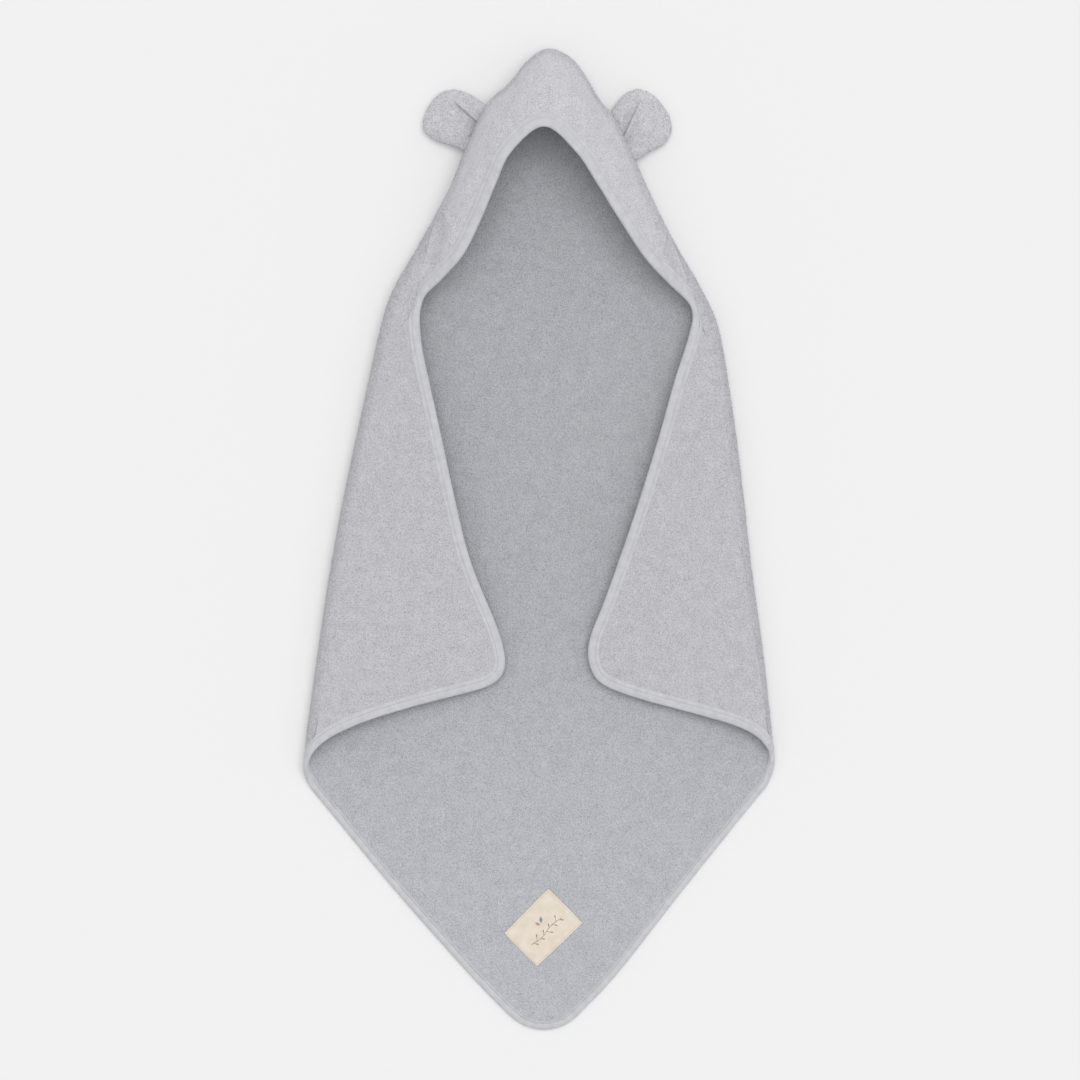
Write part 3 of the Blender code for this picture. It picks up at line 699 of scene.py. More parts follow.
def add_object(name, data, finish):
    """An object at the origin with one material."""
    obj = bpy.data.objects.new(name, data)
    bpy.context.scene.collection.objects.link(obj)
    data.materials.append(finish)
    return obj


def made_solid(obj, thickness, outer=None, sharp_degrees=50):
    """Give a sheet its thickness and turn the result into a plain mesh.

    The sheet's own side keeps its material, and the other side gets the outer one.
    """
    solid = obj.modifiers.new("thickness", "SOLIDIFY")
    solid.thickness = thickness
    solid.offset = 0.0
    if outer is not None:
        obj.data.materials.append(outer)
        solid.material_offset = 1
        solid.material_offset_rim = 1
    evaluated = obj.evaluated_get(bpy.context.evaluated_depsgraph_get())
    finished = bpy.data.meshes.new_from_object(evaluated)
    obj.modifiers.clear()
    obj.data = finished
    finished.shade_smooth()
    finished.set_sharp_from_angle(angle=math.radians(sharp_degrees))
    return obj


# %% [markdown]
# ## Materials
#
# Colours are written as sRGB hex, as on a colour card, and one function turns them to the
# linear values that the shader needs. A second small function adds a node with its
# settings and links, so that each material reads as a list of its layers.

# %% Colour and node helpers


def linear(hex_colour):
    """An sRGB hex colour as linear RGBA."""
    values = [int(hex_colour[i:i + 2], 16) / 255 for i in (1, 3, 5)]
    return [v / 12.92 if v <= 0.04045 else ((v + 0.055) / 1.055) ** 2.4 for v in values] + [1.0]


def add_node(tree, kind, settings=None, inputs=None, links=None):
    """A node of a kind, with its settings, input values and incoming links."""
    node = tree.nodes.new(kind)
    for key, value in (settings or {}).items():
        setattr(node, key, value)
    for key, value in (inputs or {}).items():
        node.inputs[key].default_value = value
    for key, (source, output) in (links or {}).items():
        tree.links.new(source.outputs[output], node.inputs[key])
    return node


def linked_up(tree, shader, colour, height, strength, distance):
    """Give a shader its colour and a bump, each as a node and the name of its output."""
    bump = add_node(tree, "ShaderNodeBump", {}, {"Strength": strength, "Distance": distance},
                    {"Height": height})
    tree.links.new(colour[0].outputs[colour[1]], shader.inputs["Base Color"])
    tree.links.new(bump.outputs["Normal"], shader.inputs["Normal"])


def new_material(name, values):
    """A material with a Principled shader and its values set."""
    made = bpy.data.materials.new(name)
    made.use_nodes = True
    shader = made.node_tree.nodes["Principled BSDF"]
    for key, value in values.items():
        shader.inputs[key].default_value = value
    return made, made.node_tree, shader


# %% [markdown]
# ## Terry cloth
#
# Terry is woven cotton with a pile of small loops on both faces. From a metre away a loop
# is about one millimetre across and reads as a fine grain: tiny light tips with darker
# gaps. The pile also lies in patches, which gives the soft mottling of a washed towel.
# The loops are too small to model over the whole towel, so a bump and a colour pattern
# draw them. The colour's light tips and dark gaps follow the bump's high and low places,
# so the grain is partly painted shade in the gaps and partly the pile's own tone. Real
# loops of thread are added later where the cloth is seen edge on.

# %% Terry material
LOOP_SIZE = 0.0013
PATCH_SIZE = 0.012
FOOT_LINE = -0.42


def terry(name, dark, light, sheen, painted_foot_light=0.0):
    """Cotton terry: looped pile, matt, with a soft sheen at a low angle.

    The cloth is painted paler towards the bottom corner by the last argument, as painted light:
    the open end is lit more than the end under the hood.
    """
    values = {"Roughness": 0.92, "IOR": 1.45, "Specular IOR Level": 0.25,
              "Sheen Weight": sheen, "Sheen Roughness": 0.55}
    made, tree, shader = new_material(name, values)
    place = add_node(tree, "ShaderNodeTexCoord")
    loops = add_node(tree, "ShaderNodeTexVoronoi",
                     {"voronoi_dimensions": "3D", "feature": "SMOOTH_F1"},
                     {"Scale": 1 / LOOP_SIZE, "Smoothness": 0.4, "Randomness": 1.0},
                     {"Vector": (place, "Object")})
    grain = add_node(tree, "ShaderNodeTexNoise", {},
                     {"Scale": 1 / (0.95 * LOOP_SIZE), "Detail": 2.0, "Roughness": 0.6},
                     {"Vector": (place, "Object")})
    patches = add_node(tree, "ShaderNodeTexNoise", {},
                       {"Scale": 1 / PATCH_SIZE, "Detail": 3.0, "Roughness": 0.55},
                       {"Vector": (place, "Object")})
    # Partly painted shade: loop tips are coloured lighter and the gaps darker, where the bump is
    # high and low.
    tip = add_node(tree, "ShaderNodeMath", {"operation": "MULTIPLY_ADD"}, {1: -0.50, 2: 0.80},
                   {0: (loops, "Distance")})
    fine = add_node(tree, "ShaderNodeMath", {"operation": "MULTIPLY_ADD"}, {1: 0.78},
                    {0: (grain, "Fac"), 2: (tip, 0)})
    both = add_node(tree, "ShaderNodeMath", {"operation": "MULTIPLY_ADD"}, {1: 0.28},
                    {0: (patches, "Fac"), 2: (fine, 0)})
    share = add_node(tree, "ShaderNodeMapRange", {},
                     {"From Min": 0.82, "From Max": 1.34, "To Min": 0.0, "To Max": 1.0},
                     {"Value": (both, 0)})
    colour = add_node(tree, "ShaderNodeMix", {"data_type": "RGBA"},
                      {6: linear(dark), 7: linear(light)}, {0: (share, 0)})
    split = add_node(tree, "ShaderNodeSeparateXYZ", {}, {}, {0: (place, "Object")})
    # Painted light: paler towards the open bottom corner than up under the hood.
    paler = add_node(tree, "ShaderNodeMapRange", {"interpolation_type": "SMOOTHSTEP"},
                     {"From Min": 0.0, "From Max": FOOT_LINE, "To Min": 1.0,
                      "To Max": 1.0 + painted_foot_light},
                     {"Value": (split, "Y")})
    seen = add_node(tree, "ShaderNodeVectorMath", {"operation": "SCALE"}, {},
                    {0: (colour, 2), "Scale": (paler, 0)})
    height = add_node(tree, "ShaderNodeMath", {"operation": "MULTIPLY_ADD"}, {1: 0.8},
                      {0: (grain, "Fac"), 2: (tip, 0)})
    linked_up(tree, shader, (seen, 0), (height, 0), 0.75, 0.0009)
    return made


TERRY_OUT = terry("cotton_terry_outer_face", "#A8A8AD", "#D3D2D7", 0.25, 0.03)
# The inner face is darker than the outer: partly its own tone, partly painted shade of the hollow
# under the hood and wings.
TERRY_IN = terry("cotton_terry_inner_face_tone_and_painted_shade", "#9B9CA1", "#C2C3C8", 0.15, 0.12)
# The hood's outer face is the same terry painted lighter: painted light that makes up for the
# shade on its slopes.
TERRY_HOOD_PAINTED_LIGHTER = terry("cotton_terry_hood_painted_lighter", "#B3B3B8", "#DEDDE2", 0.3)
# The ears and their loops are the same terry painted lighter: painted light that makes up for the
# shade among their folds and loops.
TERRY_EAR_PAINTED_LIGHTER = terry("cotton_terry_ears_painted_lighter", "#B8B8BD", "#E2E1E6", 0.3)

# %% [markdown]
# ## Binding tape
#
# The tape is a bias strip of smooth cotton jersey, folded round the raw edge of the terry
# and sewn down. Its knit is much finer than the terry, so it looks lighter and plain, with
# very fine ribs along it. The ribs follow the tape, so they read its own UV map, where U
# runs along the tape and V across it, both in metres.

# %% Jersey tape material
RIB_SPACING = 0.0011


def jersey(name, dark, light):
    """Knitted cotton jersey: fine ribs along the tape, matt and smooth."""
    values = {"Roughness": 0.82, "IOR": 1.45, "Specular IOR Level": 0.3,
              "Sheen Weight": 0.15, "Sheen Roughness": 0.5}
    made, tree, shader = new_material(name, values)
    place = add_node(tree, "ShaderNodeUVMap", {"uv_map": "along"})
    ribs = add_node(tree, "ShaderNodeTexWave",
                    {"wave_type": "BANDS", "bands_direction": "Y", "wave_profile": "SIN"},
                    {"Scale": 1 / (20 * RIB_SPACING) * 2 * math.pi, "Distortion": 0.6,
                     "Detail": 1.0, "Detail Scale": 2.0}, {"Vector": (place, "UV")})
    wear = add_node(tree, "ShaderNodeTexNoise", {}, {"Scale": 130.0, "Detail": 4.0},
                    {"Vector": (place, "UV")})
    both = add_node(tree, "ShaderNodeMath", {"operation": "MULTIPLY_ADD"}, {1: 0.25},
                    {0: (ribs, "Fac"), 2: (wear, "Fac")})
    share = add_node(tree, "ShaderNodeMapRange", {}, {"From Min": 0.35, "From Max": 0.95},
                     {"Value": (both, 0)})
    colour = add_node(tree, "ShaderNodeMix", {"data_type": "RGBA"},
                      {6: linear(dark), 7: linear(light)}, {0: (share, 0)})
    linked_up(tree, shader, (colour, 2), (both, 0), 0.35, 0.0002)
    return made


JERSEY = jersey("cotton_jersey_binding", "#BEBEC3", "#D3D3D7")

# %% Finding the cloth's surface


def tree_of(*objects):
    """A search tree over the middle surfaces of some sheets, before they are made solid."""
    mesh = bmesh.new()
    for obj in objects:
        mesh.from_mesh(obj.data)
    tree = BVHTree.FromBMesh(mesh)
    mesh.free()
    return tree


# %% [markdown]
# ## The back of the towel
#
# The back is made as two halves that share the middle line, so it is one sheet from one
# rolled side to the other.

# %% Back sheet
BACK_COLUMNS = 46
halves = [grid_of(BACK[name], TAPE_WIDTH, BACK_COLUMNS, rolled=True) for name in SIDES]
back_mesh = mesh_from_grids("back_cloth", halves, inner_up=True)
back_cloth = add_object("back_cloth", back_mesh, TERRY_IN)
CLOTH_TREES = {"back": tree_of(back_cloth)}
made_solid(back_cloth, CLOTH, outer=TERRY_OUT)
print("back cloth", len(back_cloth.data.polygons), "faces")

# %% [markdown]
# ## The wings
#
# A wing is the corner of the towel folded over along a straight line, so its outer face is
# uppermost. It leaves the fold nearly level and its weight lets it sag to rest by its
# bound edge. The sheet is a loft of sections from fold to edge. Its first column is tucked
# a little way into the fold, so that no gap shows there.

# %% Wings
WING_COLUMNS = 60
wing_cloth = {}
for name in SIDES:
    grid = grid_of(WING[name], TAPE_WIDTH, WING_COLUMNS, tuck=TUCK)
    piece = name + "_wing_cloth"
    wing_mesh = mesh_from_grids(piece, [grid], inner_up=False)
    wing_cloth[name] = add_object(piece, wing_mesh, TERRY_IN)
    CLOTH_TREES[name] = tree_of(wing_cloth[name])
    made_solid(wing_cloth[name], CLOTH, outer=TERRY_OUT)

# %% [markdown]
# ## The hood
#
# The hood is a second triangle of terry, sewn along both of the towel's top edges and
# turned out, so it stands up as a soft arch from its seam. Its sections start out along
# the direction in which the back's sheet arrives at the seam, which makes the two read as
# one round shape.

# %% Hood
HOOD_COLUMNS = 70
hood_cloth_grid = grid_of(HOOD, HOOD_TAPE_WIDTH, HOOD_COLUMNS)
hood_mesh = mesh_from_grids("hood_cloth", [hood_cloth_grid], inner_up=False)
hood_cloth = add_object("hood_cloth", hood_mesh, TERRY_IN)
CLOTH_TREES["hood"] = tree_of(hood_cloth)
made_solid(hood_cloth, CLOTH, outer=TERRY_HOOD_PAINTED_LIGHTER)
print("hood", len(hood_cloth.data.polygons), "faces")

# %% [markdown]
# ## The tapes
#
# Each tape is a strip folded over the cloth's edge. Its cross-section is a C: in over the
# top, round the nose and back underneath. A line of stitches pulls it down a little way
# in from its inner edge, which leaves a groove. The same section is swept along the edge
# of each sheet, with the direction of the cloth at each place.

# %% The towel's whole edge, as frames
GROOVE_DEPTH = 0.0011
GROOVE_AT, GROOVE_WIDTH = 0.62, 0.09
PUFF, HEM_PUFF = 0.0004, 0.0002
HEM_AT, HEM_DROP = 0.86, 0.0014
TAPE_ROUND = 9
TAPE_STEPS = 12


def smoothed(values, reach):
    """Rows of values averaged with their neighbours round a closed loop."""
    offsets = np.arange(-3 * reach, 3 * reach + 1)
    weights = np.exp(-(offsets / reach) ** 2)
    return sum(np.roll(values, o, axis=0) * w for o, w in zip(offsets, weights)) / weights.sum()


def edge_of(sections, inner_up):
    """Edge points, inward ways and inner-face normals of a row of sections."""
    steps = [0.0, 0.002, 0.004]
    grid = lived_in(np.array([[s.at(min(d, 0.3 * s.length())) for d in steps] for s in sections]))
    normal = np.cross(np.gradient(grid, axis=0)[:, 1], grid[:, 0] - grid[:, 2])
    normal *= np.sign(normal[len(normal) // 2, 2]) * (1 if inner_up else -1)
    return grid[:, 0], grid[:, 2] - grid[:, 0], normal / np.linalg.norm(normal, axis=1)[:, None]


def lower_sections():
    """Rows whose ends are bound: round the left curl, along the bottom, round the right."""
    low = {name: [r for r in BACK[name] if r.kind in ("curl", "edge")] for name in SIDES}
    return low["left"] + low["right"][:-1][::-1]


def whole_edge():
    """The towel's closed edge: left wing up, hood, right wing down, and the lower edge back."""
    runs = [("left_wing", WING["left"][::-1][1:-1], False), ("hood", HOOD, False),
            ("right_wing", WING["right"][1:-1], False), ("lower", lower_sections()[::-1], True)]
    parts = {name: edge_of(sections, up) for name, sections, up in runs}
    points, ways, normals = (np.vstack([parts[run[0]][k] for run in runs]) for k in range(3))
    names = np.concatenate([[run[0]] * len(parts[run[0]][0]) for run in runs])
    points = smoothed(points, 2)
    tangent = np.roll(points, -3, axis=0) - np.roll(points, 3, axis=0)
    tangent = smoothed(tangent / np.linalg.norm(tangent, axis=1)[:, None], 3)
    normals = smoothed(normals, 4)
    inward = np.cross(normals, tangent)
    inward *= np.sign(np.sum(inward * ways, axis=1))[:, None]
    return points, inward / np.linalg.norm(inward, axis=1)[:, None], normals, names


EDGE, EDGE_IN, EDGE_UP, EDGE_RUN = whole_edge()
print("the edge is", round(lengths_along(EDGE)[-1], 2), "metres round")

# %% Walking in over the cloth from its edge


def walk_in(start, way, run, step, count):
    """Points over the cloth's middle surface, walking in from the edge."""
    trees = {"left_wing": ("left", "back", "hood"), "hood": ("hood", "back", "left", "right"),
             "right_wing": ("right", "back", "hood"), "lower": ("back", "left", "right")}[run]
    path = [start]
    for _ in range(count):
        goal = path[-1] + way * step
        found = [CLOTH_TREES[t].find_nearest(Vector(goal), 0.004) for t in trees]
        near = [f for f in found if f[0] is not None]
        if near:
            best = np.array(min(near, key=lambda f: f[3])[0])
            goal = best if np.linalg.norm(best - path[-1]) > 0.3 * step else goal
        path.append(goal)
        way = unit(unit(goal - path[-2]) + way)
    return np.array(path)


TAPE_WIDTHS = {"left_wing": TAPE_WIDTH, "hood": HOOD_TAPE_WIDTH, "right_wing": TAPE_WIDTH,
               "lower": LOWER_TAPE_WIDTH}
BAND = smoothed(np.array([[TAPE_WIDTHS[run]] for run in EDGE_RUN]), 8)[:, 0]
UNDER = np.array([walk_in(EDGE[k], EDGE_IN[k], EDGE_RUN[k], BAND[k] / TAPE_STEPS, TAPE_STEPS)
                  for k in range(len(EDGE))])
UNDER = smoothed(UNDER, 2)
UNDER_UP = np.cross(np.roll(UNDER, -1, axis=0) - np.roll(UNDER, 1, axis=0),
                    np.gradient(UNDER, axis=1))
UNDER_UP /= np.linalg.norm(UNDER_UP, axis=2)[:, :, None]
UNDER_UP *= np.sign(np.sum(UNDER_UP * EDGE_UP[:, None], axis=2))[:, :, None]

# %% Tape sheets


def tape_strip(name, run):
    """The tape along one run of the edge, with one shared frame at each end."""
    inside = np.flatnonzero(EDGE_RUN == run)
    rows = np.arange(inside[0] - 1, inside[-1] + 1) % len(EDGE)
    share = np.linspace(0.0, 1.0, TAPE_STEPS + 1)
    grid, normal = UNDER[rows], UNDER_UP[rows]
    out = grid[:, 0] - grid[:, 1]
    out /= np.linalg.norm(out, axis=1)[:, None]
    seen = 1.0 if run == "lower" else -1.0
    depth = groove_depth(run, len(rows))[:, None]
    groove = depth * np.exp(-((share - GROOVE_AT) / GROOVE_WIDTH) ** 2)
    puff = PUFF * np.sin(np.pi * np.clip(share / GROOVE_AT, 0, 1))
    puff += HEM_PUFF * smooth((share - GROOVE_AT) / 0.2)
    hem = HEM_DROP * smooth((share - HEM_AT) / (1 - HEM_AT))
    reach = TAPE_REACH - groove + puff - hem
    columns = [grid[:, k] + seen * normal[:, k] * reach[:, k:k + 1]
               for k in range(TAPE_STEPS, 0, -1)]
    for turn in np.linspace(math.pi / 2, -math.pi / 2, TAPE_ROUND):
        side = seen * normal[:, 0] * math.sin(turn)
        columns.append(grid[:, 0] + TAPE_REACH * (out * math.cos(turn) + side))
    columns += [grid[:, k] - seen * normal[:, k] * TAPE_REACH for k in range(1, TAPE_STEPS + 1)]
    strip = np.stack(columns, axis=1)
    obj = add_object(name, mesh_from_grids(name, [strip]), JERSEY)
    add_tape_uv(obj, strip)
    return made_solid(obj, TAPE)


def groove_depth(run, count):
    """How deep the stitched groove is along a run: the wings' lower edges show none."""
    share = np.linspace(0.0, 1.0, count)
    if run == "left_wing":
        return GROOVE_DEPTH * smooth((share - 0.40) / 0.10)
    if run == "right_wing":
        return GROOVE_DEPTH * smooth((0.60 - share) / 0.10)
    return np.full(count, 0.35 * GROOVE_DEPTH if run == "hood" else GROOVE_DEPTH)


def add_tape_uv(obj, strip):
    """U along the tape and V across it, in metres, read from the nearest grid point."""
    lengths = lengths_along(strip[:, strip.shape[1] // 2])
    widths = lengths_along(strip[strip.shape[0] // 2])
    place = {}
    for i, row in enumerate(strip):
        for j, point in enumerate(row):
            place[tuple(np.round(point, 5))] = (lengths[i], widths[j])
    uv = obj.data.uv_layers.new(name="along")
    for loop in obj.data.loops:
        co = obj.data.vertices[loop.vertex_index].co
        uv.data[loop.index].uv = place.get(tuple(np.round(np.array(co), 5)), (0.0, 0.0))


RUNS = ("lower", "hood", "left_wing", "right_wing")
tapes = {run: tape_strip(run + "_tape", run) for run in RUNS}
print({name: len(obj.data.polygons) for name, obj in tapes.items()})

# %% [markdown]
# ## The ears
#
# Each ear is two round pieces of terry sewn together and turned, so it is a thin pillow
# with its seam at the rim. It was pinched into a pleat where it went into the hood's
# seam. The pleat is what gives it life: one deep fold from the base across the front, and
# softer folds beside it. An outline and a list of folds make the shape: each fold is a
# line from one place to another, with a depth and a width on either side of it.

# %% Ear shapes, in metres out from the base and along the seam
EAR_OUTLINE = {
    "left": [(0.0, -25.5), (18.5, -28.5), (31.8, -28.8), (42.0, -26.2), (50.6, -20.0),
             (55.7, -9.9), (57.5, 2.4), (56.3, 15.5), (52.4, 23.5), (45.0, 27.4),
             (35.2, 28.5), (24.3, 27.2), (13.5, 25.9), (0.0, 25.4)],
    "right": [(0.0, -25.9), (8.9, -33.3), (21.7, -39.6), (32.0, -40.8), (40.6, -38.2),
              (48.5, -30.1), (53.4, -18.1), (55.8, -4.2), (54.3, 7.6), (49.4, 16.8),
              (38.1, 23.3), (23.5, 24.2), (10.1, 25.6), (0.0, 25.9)],
}
EAR_FOLDS = {
    "left": [((1, -5), (43, -17), 5.2, 0.7, 8.0), ((2, -4), (43, 12), 1.5, 4.0, 4.0),
             ((0, 1), (9, 15), 2.0, 1.2, 3.0), ((0, -8), (30, -24), 0.7, 3.0, 3.0)],
    "right": [((1, 0), (39, -31), 5.0, 7.0, 0.7), ((2, 2), (38, 12), 1.4, 3.5, 4.0),
              ((0, -22), (9, -12), 1.4, 1.2, 2.4), ((3, 4), (24, 22), 0.8, 3.0, 4.0)],
}
EAR_FULLNESS = 0.0070
EAR_SUNK = 0.0035
EAR_RUMPLE, RUMPLE_LENGTH = 0.0011, 0.014
EAR_RIM_POINTS, EAR_RINGS = 110, 62
MM = 0.001


# %% Where an ear is sewn, and how its folds press


def ear_frame(side):
    """Where an ear is sewn: its base, the way out and the way along the seam."""
    top, bottom = (y * HALF_LENGTH + CENTRE[1] for y in EAR_BASE[side.name])
    a = np.array([x_at(side.outline, top), top])
    b = np.array([x_at(side.outline, bottom), bottom])
    seam = unit(b - a)
    out = np.array([seam[1], -seam[0]])
    out *= side.sign * np.sign(out[0])
    return (a + b) / 2 + out * (CLOTH / 2), out, seam


def fold_depth(u, v, folds):
    """How far the folds press the cloth down at a place on the ear, in metres."""
    depth = 0.0
    for (u0, v0), (u1, v1), deep, wide_low, wide_high in folds:
        run = np.array([u1 - u0, v1 - v0]) * MM
        place = np.array([u, v]) - np.array([u0, v0]) * MM
        share = float(np.dot(place, run) / np.dot(run, run))
        across = float(run[0] * place[1] - run[1] * place[0]) / np.linalg.norm(run)
        wide = (wide_high if across > 0 else wide_low) * MM
        ends = smooth((share + 0.08) / 0.15) * smooth((1.0 - share) / 0.45)
        depth += deep * MM * ends * math.exp(-(across / wide) ** 2)
    return depth


def ear_face(side, layer):
    """One face of an ear: rings from the middle of its base out to its sewn rim."""
    base, out, seam = ear_frame(side)
    rim = resampled(through(np.array(EAR_OUTLINE[side.name]) * MM, 8), EAR_RIM_POINTS)
    low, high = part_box(side.name + "_ear_back")[0].z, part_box(side.name + "_ear_front")[1].z
    grid = []
    for u, v in rim:
        row = []
        for ring in np.linspace(0.02, 1.0, EAR_RINGS):
            p, q = u * ring, v * ring
            rounded = (1 - ring ** 3.2) ** 0.55
            puff = EAR_FULLNESS * rounded * (0.55 + 0.45 * smooth(p / 0.030))
            rumple = EAR_RUMPLE * noise.noise(Vector((p, q, side.sign)) / RUMPLE_LENGTH) * rounded
            middle = low + 0.0045 + (high - low - 0.011) * (1 - smooth(p / 0.045)) * 0.62
            pressed = fold_depth(p, q, EAR_FOLDS[side.name]) * min(1.0, 3 * rounded)
            height = middle + layer * (puff + rumple) - (pressed if layer > 0 else 0.35 * pressed)
            height = max(height, low + (0.0 if layer > 0 else 0.0005 * ring))
            plan = base + out * (p - EAR_SUNK) + seam * q
            row.append([plan[0], plan[1], height])
        grid.append(row)
    return np.array(grid)


# %% Both ears


def make_ear(name):
    """Both faces of an ear in one closed piece, sewn together at the rim."""
    mesh = faces_through([ear_face(SIDE[name], layer) for layer in (1, -1)])
    holes = [e for e in mesh.edges if e.is_boundary]
    bmesh.ops.holes_fill(mesh, edges=holes, sides=0)
    bmesh.ops.triangulate(mesh, faces=[f for f in mesh.faces if len(f.verts) > 4])
    bmesh.ops.recalc_face_normals(mesh, faces=mesh.faces)
    return add_object(name + "_ear", data_from(mesh, name + "_ear", shaded=True), TERRY_EAR_PAINTED_LIGHTER)


ears = {name: make_ear(name) for name in SIDES}
print("ears", [len(e.data.polygons) for e in ears.values()], "faces")

# %% [markdown]
# ## Loops of thread
#
# Where terry is seen edge on, its loops stand out against what is behind it: round the
# ears, along the rolled sides and over the hood's edge. There the loops are modelled. One
# small loop of thread is scattered over the cloth by Geometry Nodes, a little apart, each
# turned and leaned its own way.

# %% One loop of thread


def join_rings(mesh, rings):
    """A closed tube through rings of vertices."""
    sides = len(rings[0])
    for near, far in zip(rings[:-1], rings[1:]):
        for k in range(sides):
            n = (k + 1) % sides
            mesh.faces.new([near[k], near[n], far[n], far[k]])
    mesh.faces.new(rings[0][::-1])
    mesh.faces.new(rings[-1])


def thread_loop():
    """One loop of pile: a bent thread that starts and ends in the cloth."""
    bends, sides, tall, wide, thick, sunk = 6, 3, 0.0013, 0.00055, 0.00021, 0.0003
    mesh = bmesh.new()
    rings = []
    round_thread = np.linspace(0, 2 * math.pi, sides, endpoint=False)
    for i in range(bends + 1):
        turn = math.pi * i / bends
        centre = Vector((wide * math.cos(turn), 0.0, tall * math.sin(turn) - sunk))
        out = Vector((math.cos(turn), 0.0, math.sin(turn)))
        rings.append([
            mesh.verts.new(centre + thick * (out * math.cos(a) + Vector((0, math.sin(a), 0))))
            for a in round_thread])
    join_rings(mesh, rings)
    bmesh.ops.recalc_face_normals(mesh, faces=mesh.faces)
    return bpy.data.objects.new("thread_loop", data_from(mesh, "thread_loop", shaded=True))


# %% Trees with named inputs


def input_of(tree, name):
    """The identifier of a tree's named input."""
    return next(i.identifier for i in tree.interface.items_tree if i.name == name)


def new_tree(name, inputs):
    """An empty Geometry Nodes tree with named inputs, each a kind of socket and a value."""
    tree = bpy.data.node_groups.new(name, "GeometryNodeTree")
    tree.interface.new_socket("Geometry", in_out="INPUT", socket_type="NodeSocketGeometry")
    tree.interface.new_socket("Geometry", in_out="OUTPUT", socket_type="NodeSocketGeometry")
    for key, (kind, value) in inputs.items():
        socket = tree.interface.new_socket(key, in_out="INPUT", socket_type=kind)
        socket.default_value = value
    return tree, tree.nodes.new("NodeGroupInput"), tree.nodes.new("NodeGroupOutput")


def copies_on(points, shape, finish, tree, result, links):
    """End a tree: copies of a shape on its points, made real, with their material."""
    source = add_node(tree, "GeometryNodeObjectInfo", {"transform_space": "ORIGINAL"},
                      {"Object": shape})
    placed = add_node(tree, "GeometryNodeInstanceOnPoints", {}, {},
                      {"Points": (points, "Points"), "Instance": (source, "Geometry"), **links})
    real = add_node(tree, "GeometryNodeRealizeInstances", {}, {},
                    {"Geometry": (placed, "Instances")})
    last = add_node(tree, "GeometryNodeSetMaterial", {}, {"Material": finish},
                    {"Geometry": (real, "Geometry")})
    tree.links.new(last.outputs["Geometry"], result.inputs["Geometry"])
    return tree


# %% The scatter of loops


def loop_tree(loop, finish):
    """Scatters loops over a surface: Poisson points, each turned to the surface's normal."""
    tree, given, result = new_tree("scattered_loops", {
        "Apart": ("NodeSocketFloat", 0.0015), "Density": ("NodeSocketFloat", 500000.0),
        "Smallest": ("NodeSocketFloat", 0.7), "Largest": ("NodeSocketFloat", 1.1),
        "Seed": ("NodeSocketInt", 3)})
    points = add_node(tree, "GeometryNodeDistributePointsOnFaces",
                      {"distribute_method": "POISSON"}, {},
                      {"Mesh": (given, "Geometry"), "Distance Min": (given, "Apart"),
                       "Density Max": (given, "Density"), "Seed": (given, "Seed")})
    spin = add_node(tree, "FunctionNodeRandomValue", {"data_type": "FLOAT_VECTOR"},
                    {0: (-0.5, -0.5, -math.pi), 1: (0.5, 0.5, math.pi)}, {"Seed": (given, "Seed")})
    turned = add_node(tree, "FunctionNodeRotateRotation", {"rotation_space": "LOCAL"}, {},
                      {"Rotation": (points, "Rotation"), "Rotate By": (spin, "Value")})
    size = add_node(tree, "FunctionNodeRandomValue", {"data_type": "FLOAT"}, {},
                    {2: (given, "Smallest"), 3: (given, "Largest"), "Seed": (given, "Seed")})
    return copies_on(points, loop, finish, tree, result,
                     {"Rotation": (turned, "Rotation"), "Scale": (size, 1)})


# %% From nodes to a plain mesh


def made_by_nodes(name, data, tree, settings, finish):
    """Run a tree on some geometry and keep the result as a plain mesh."""
    source = bpy.data.objects.new(name + "_source", data)
    bpy.context.scene.collection.objects.link(source)
    modifier = source.modifiers.new("nodes", "NODES")
    modifier.node_group = tree
    for key, value in settings.items():
        modifier[input_of(tree, key)] = value
    evaluated = source.evaluated_get(bpy.context.evaluated_depsgraph_get())
    made = bpy.data.meshes.new_from_object(evaluated)
    made.name = name
    bpy.data.objects.remove(source)
    made.materials.clear()
    obj = add_object(name, made, finish)
    print(name, len(made.polygons), "faces")
    return obj


LOOP = thread_loop()
LOOPS = loop_tree(LOOP, TERRY_EAR_PAINTED_LIGHTER)


def patch_of(obj, keep):
    """The faces of a piece whose centre and normal pass a test, as a mesh of their own."""
    mesh = bmesh.new()
    mesh.from_mesh(obj.data)
    mesh.normal_update()
    away = [f for f in mesh.faces if not keep(f.calc_center_median(), f.normal)]
    bmesh.ops.delete(mesh, geom=away, context="FACES")
    return data_from(mesh, "patch")


EAR_LOOPS_APART = 0.0013
ear_loops = {}
for name in SIDES:
    patch = patch_of(ears[name], lambda c, n: n.z > -0.55)
    ear_loops[name] = made_by_nodes(name + "_ear_loops", patch, LOOPS,
                                    {"Apart": EAR_LOOPS_APART, "Seed": 5}, TERRY_EAR_PAINTED_LIGHTER)

# %% [markdown]
# ### Loops on the sides and the hood
#
# The rolled sides and the hood's slopes are the other places where the pile is seen edge
# on. The loops stop short of the ears' seams, where the ears press on the cloth as they
# bend.

# %% Loops along the rolled sides and over the hood
EAR_ROOM = 0.010
HOOD_MIDDLE = 0.34
HOOD_LOOPS_TOP = 0.045
SIDE_LOOPS_APART, HOOD_LOOPS_APART = 0.0019, 0.0021


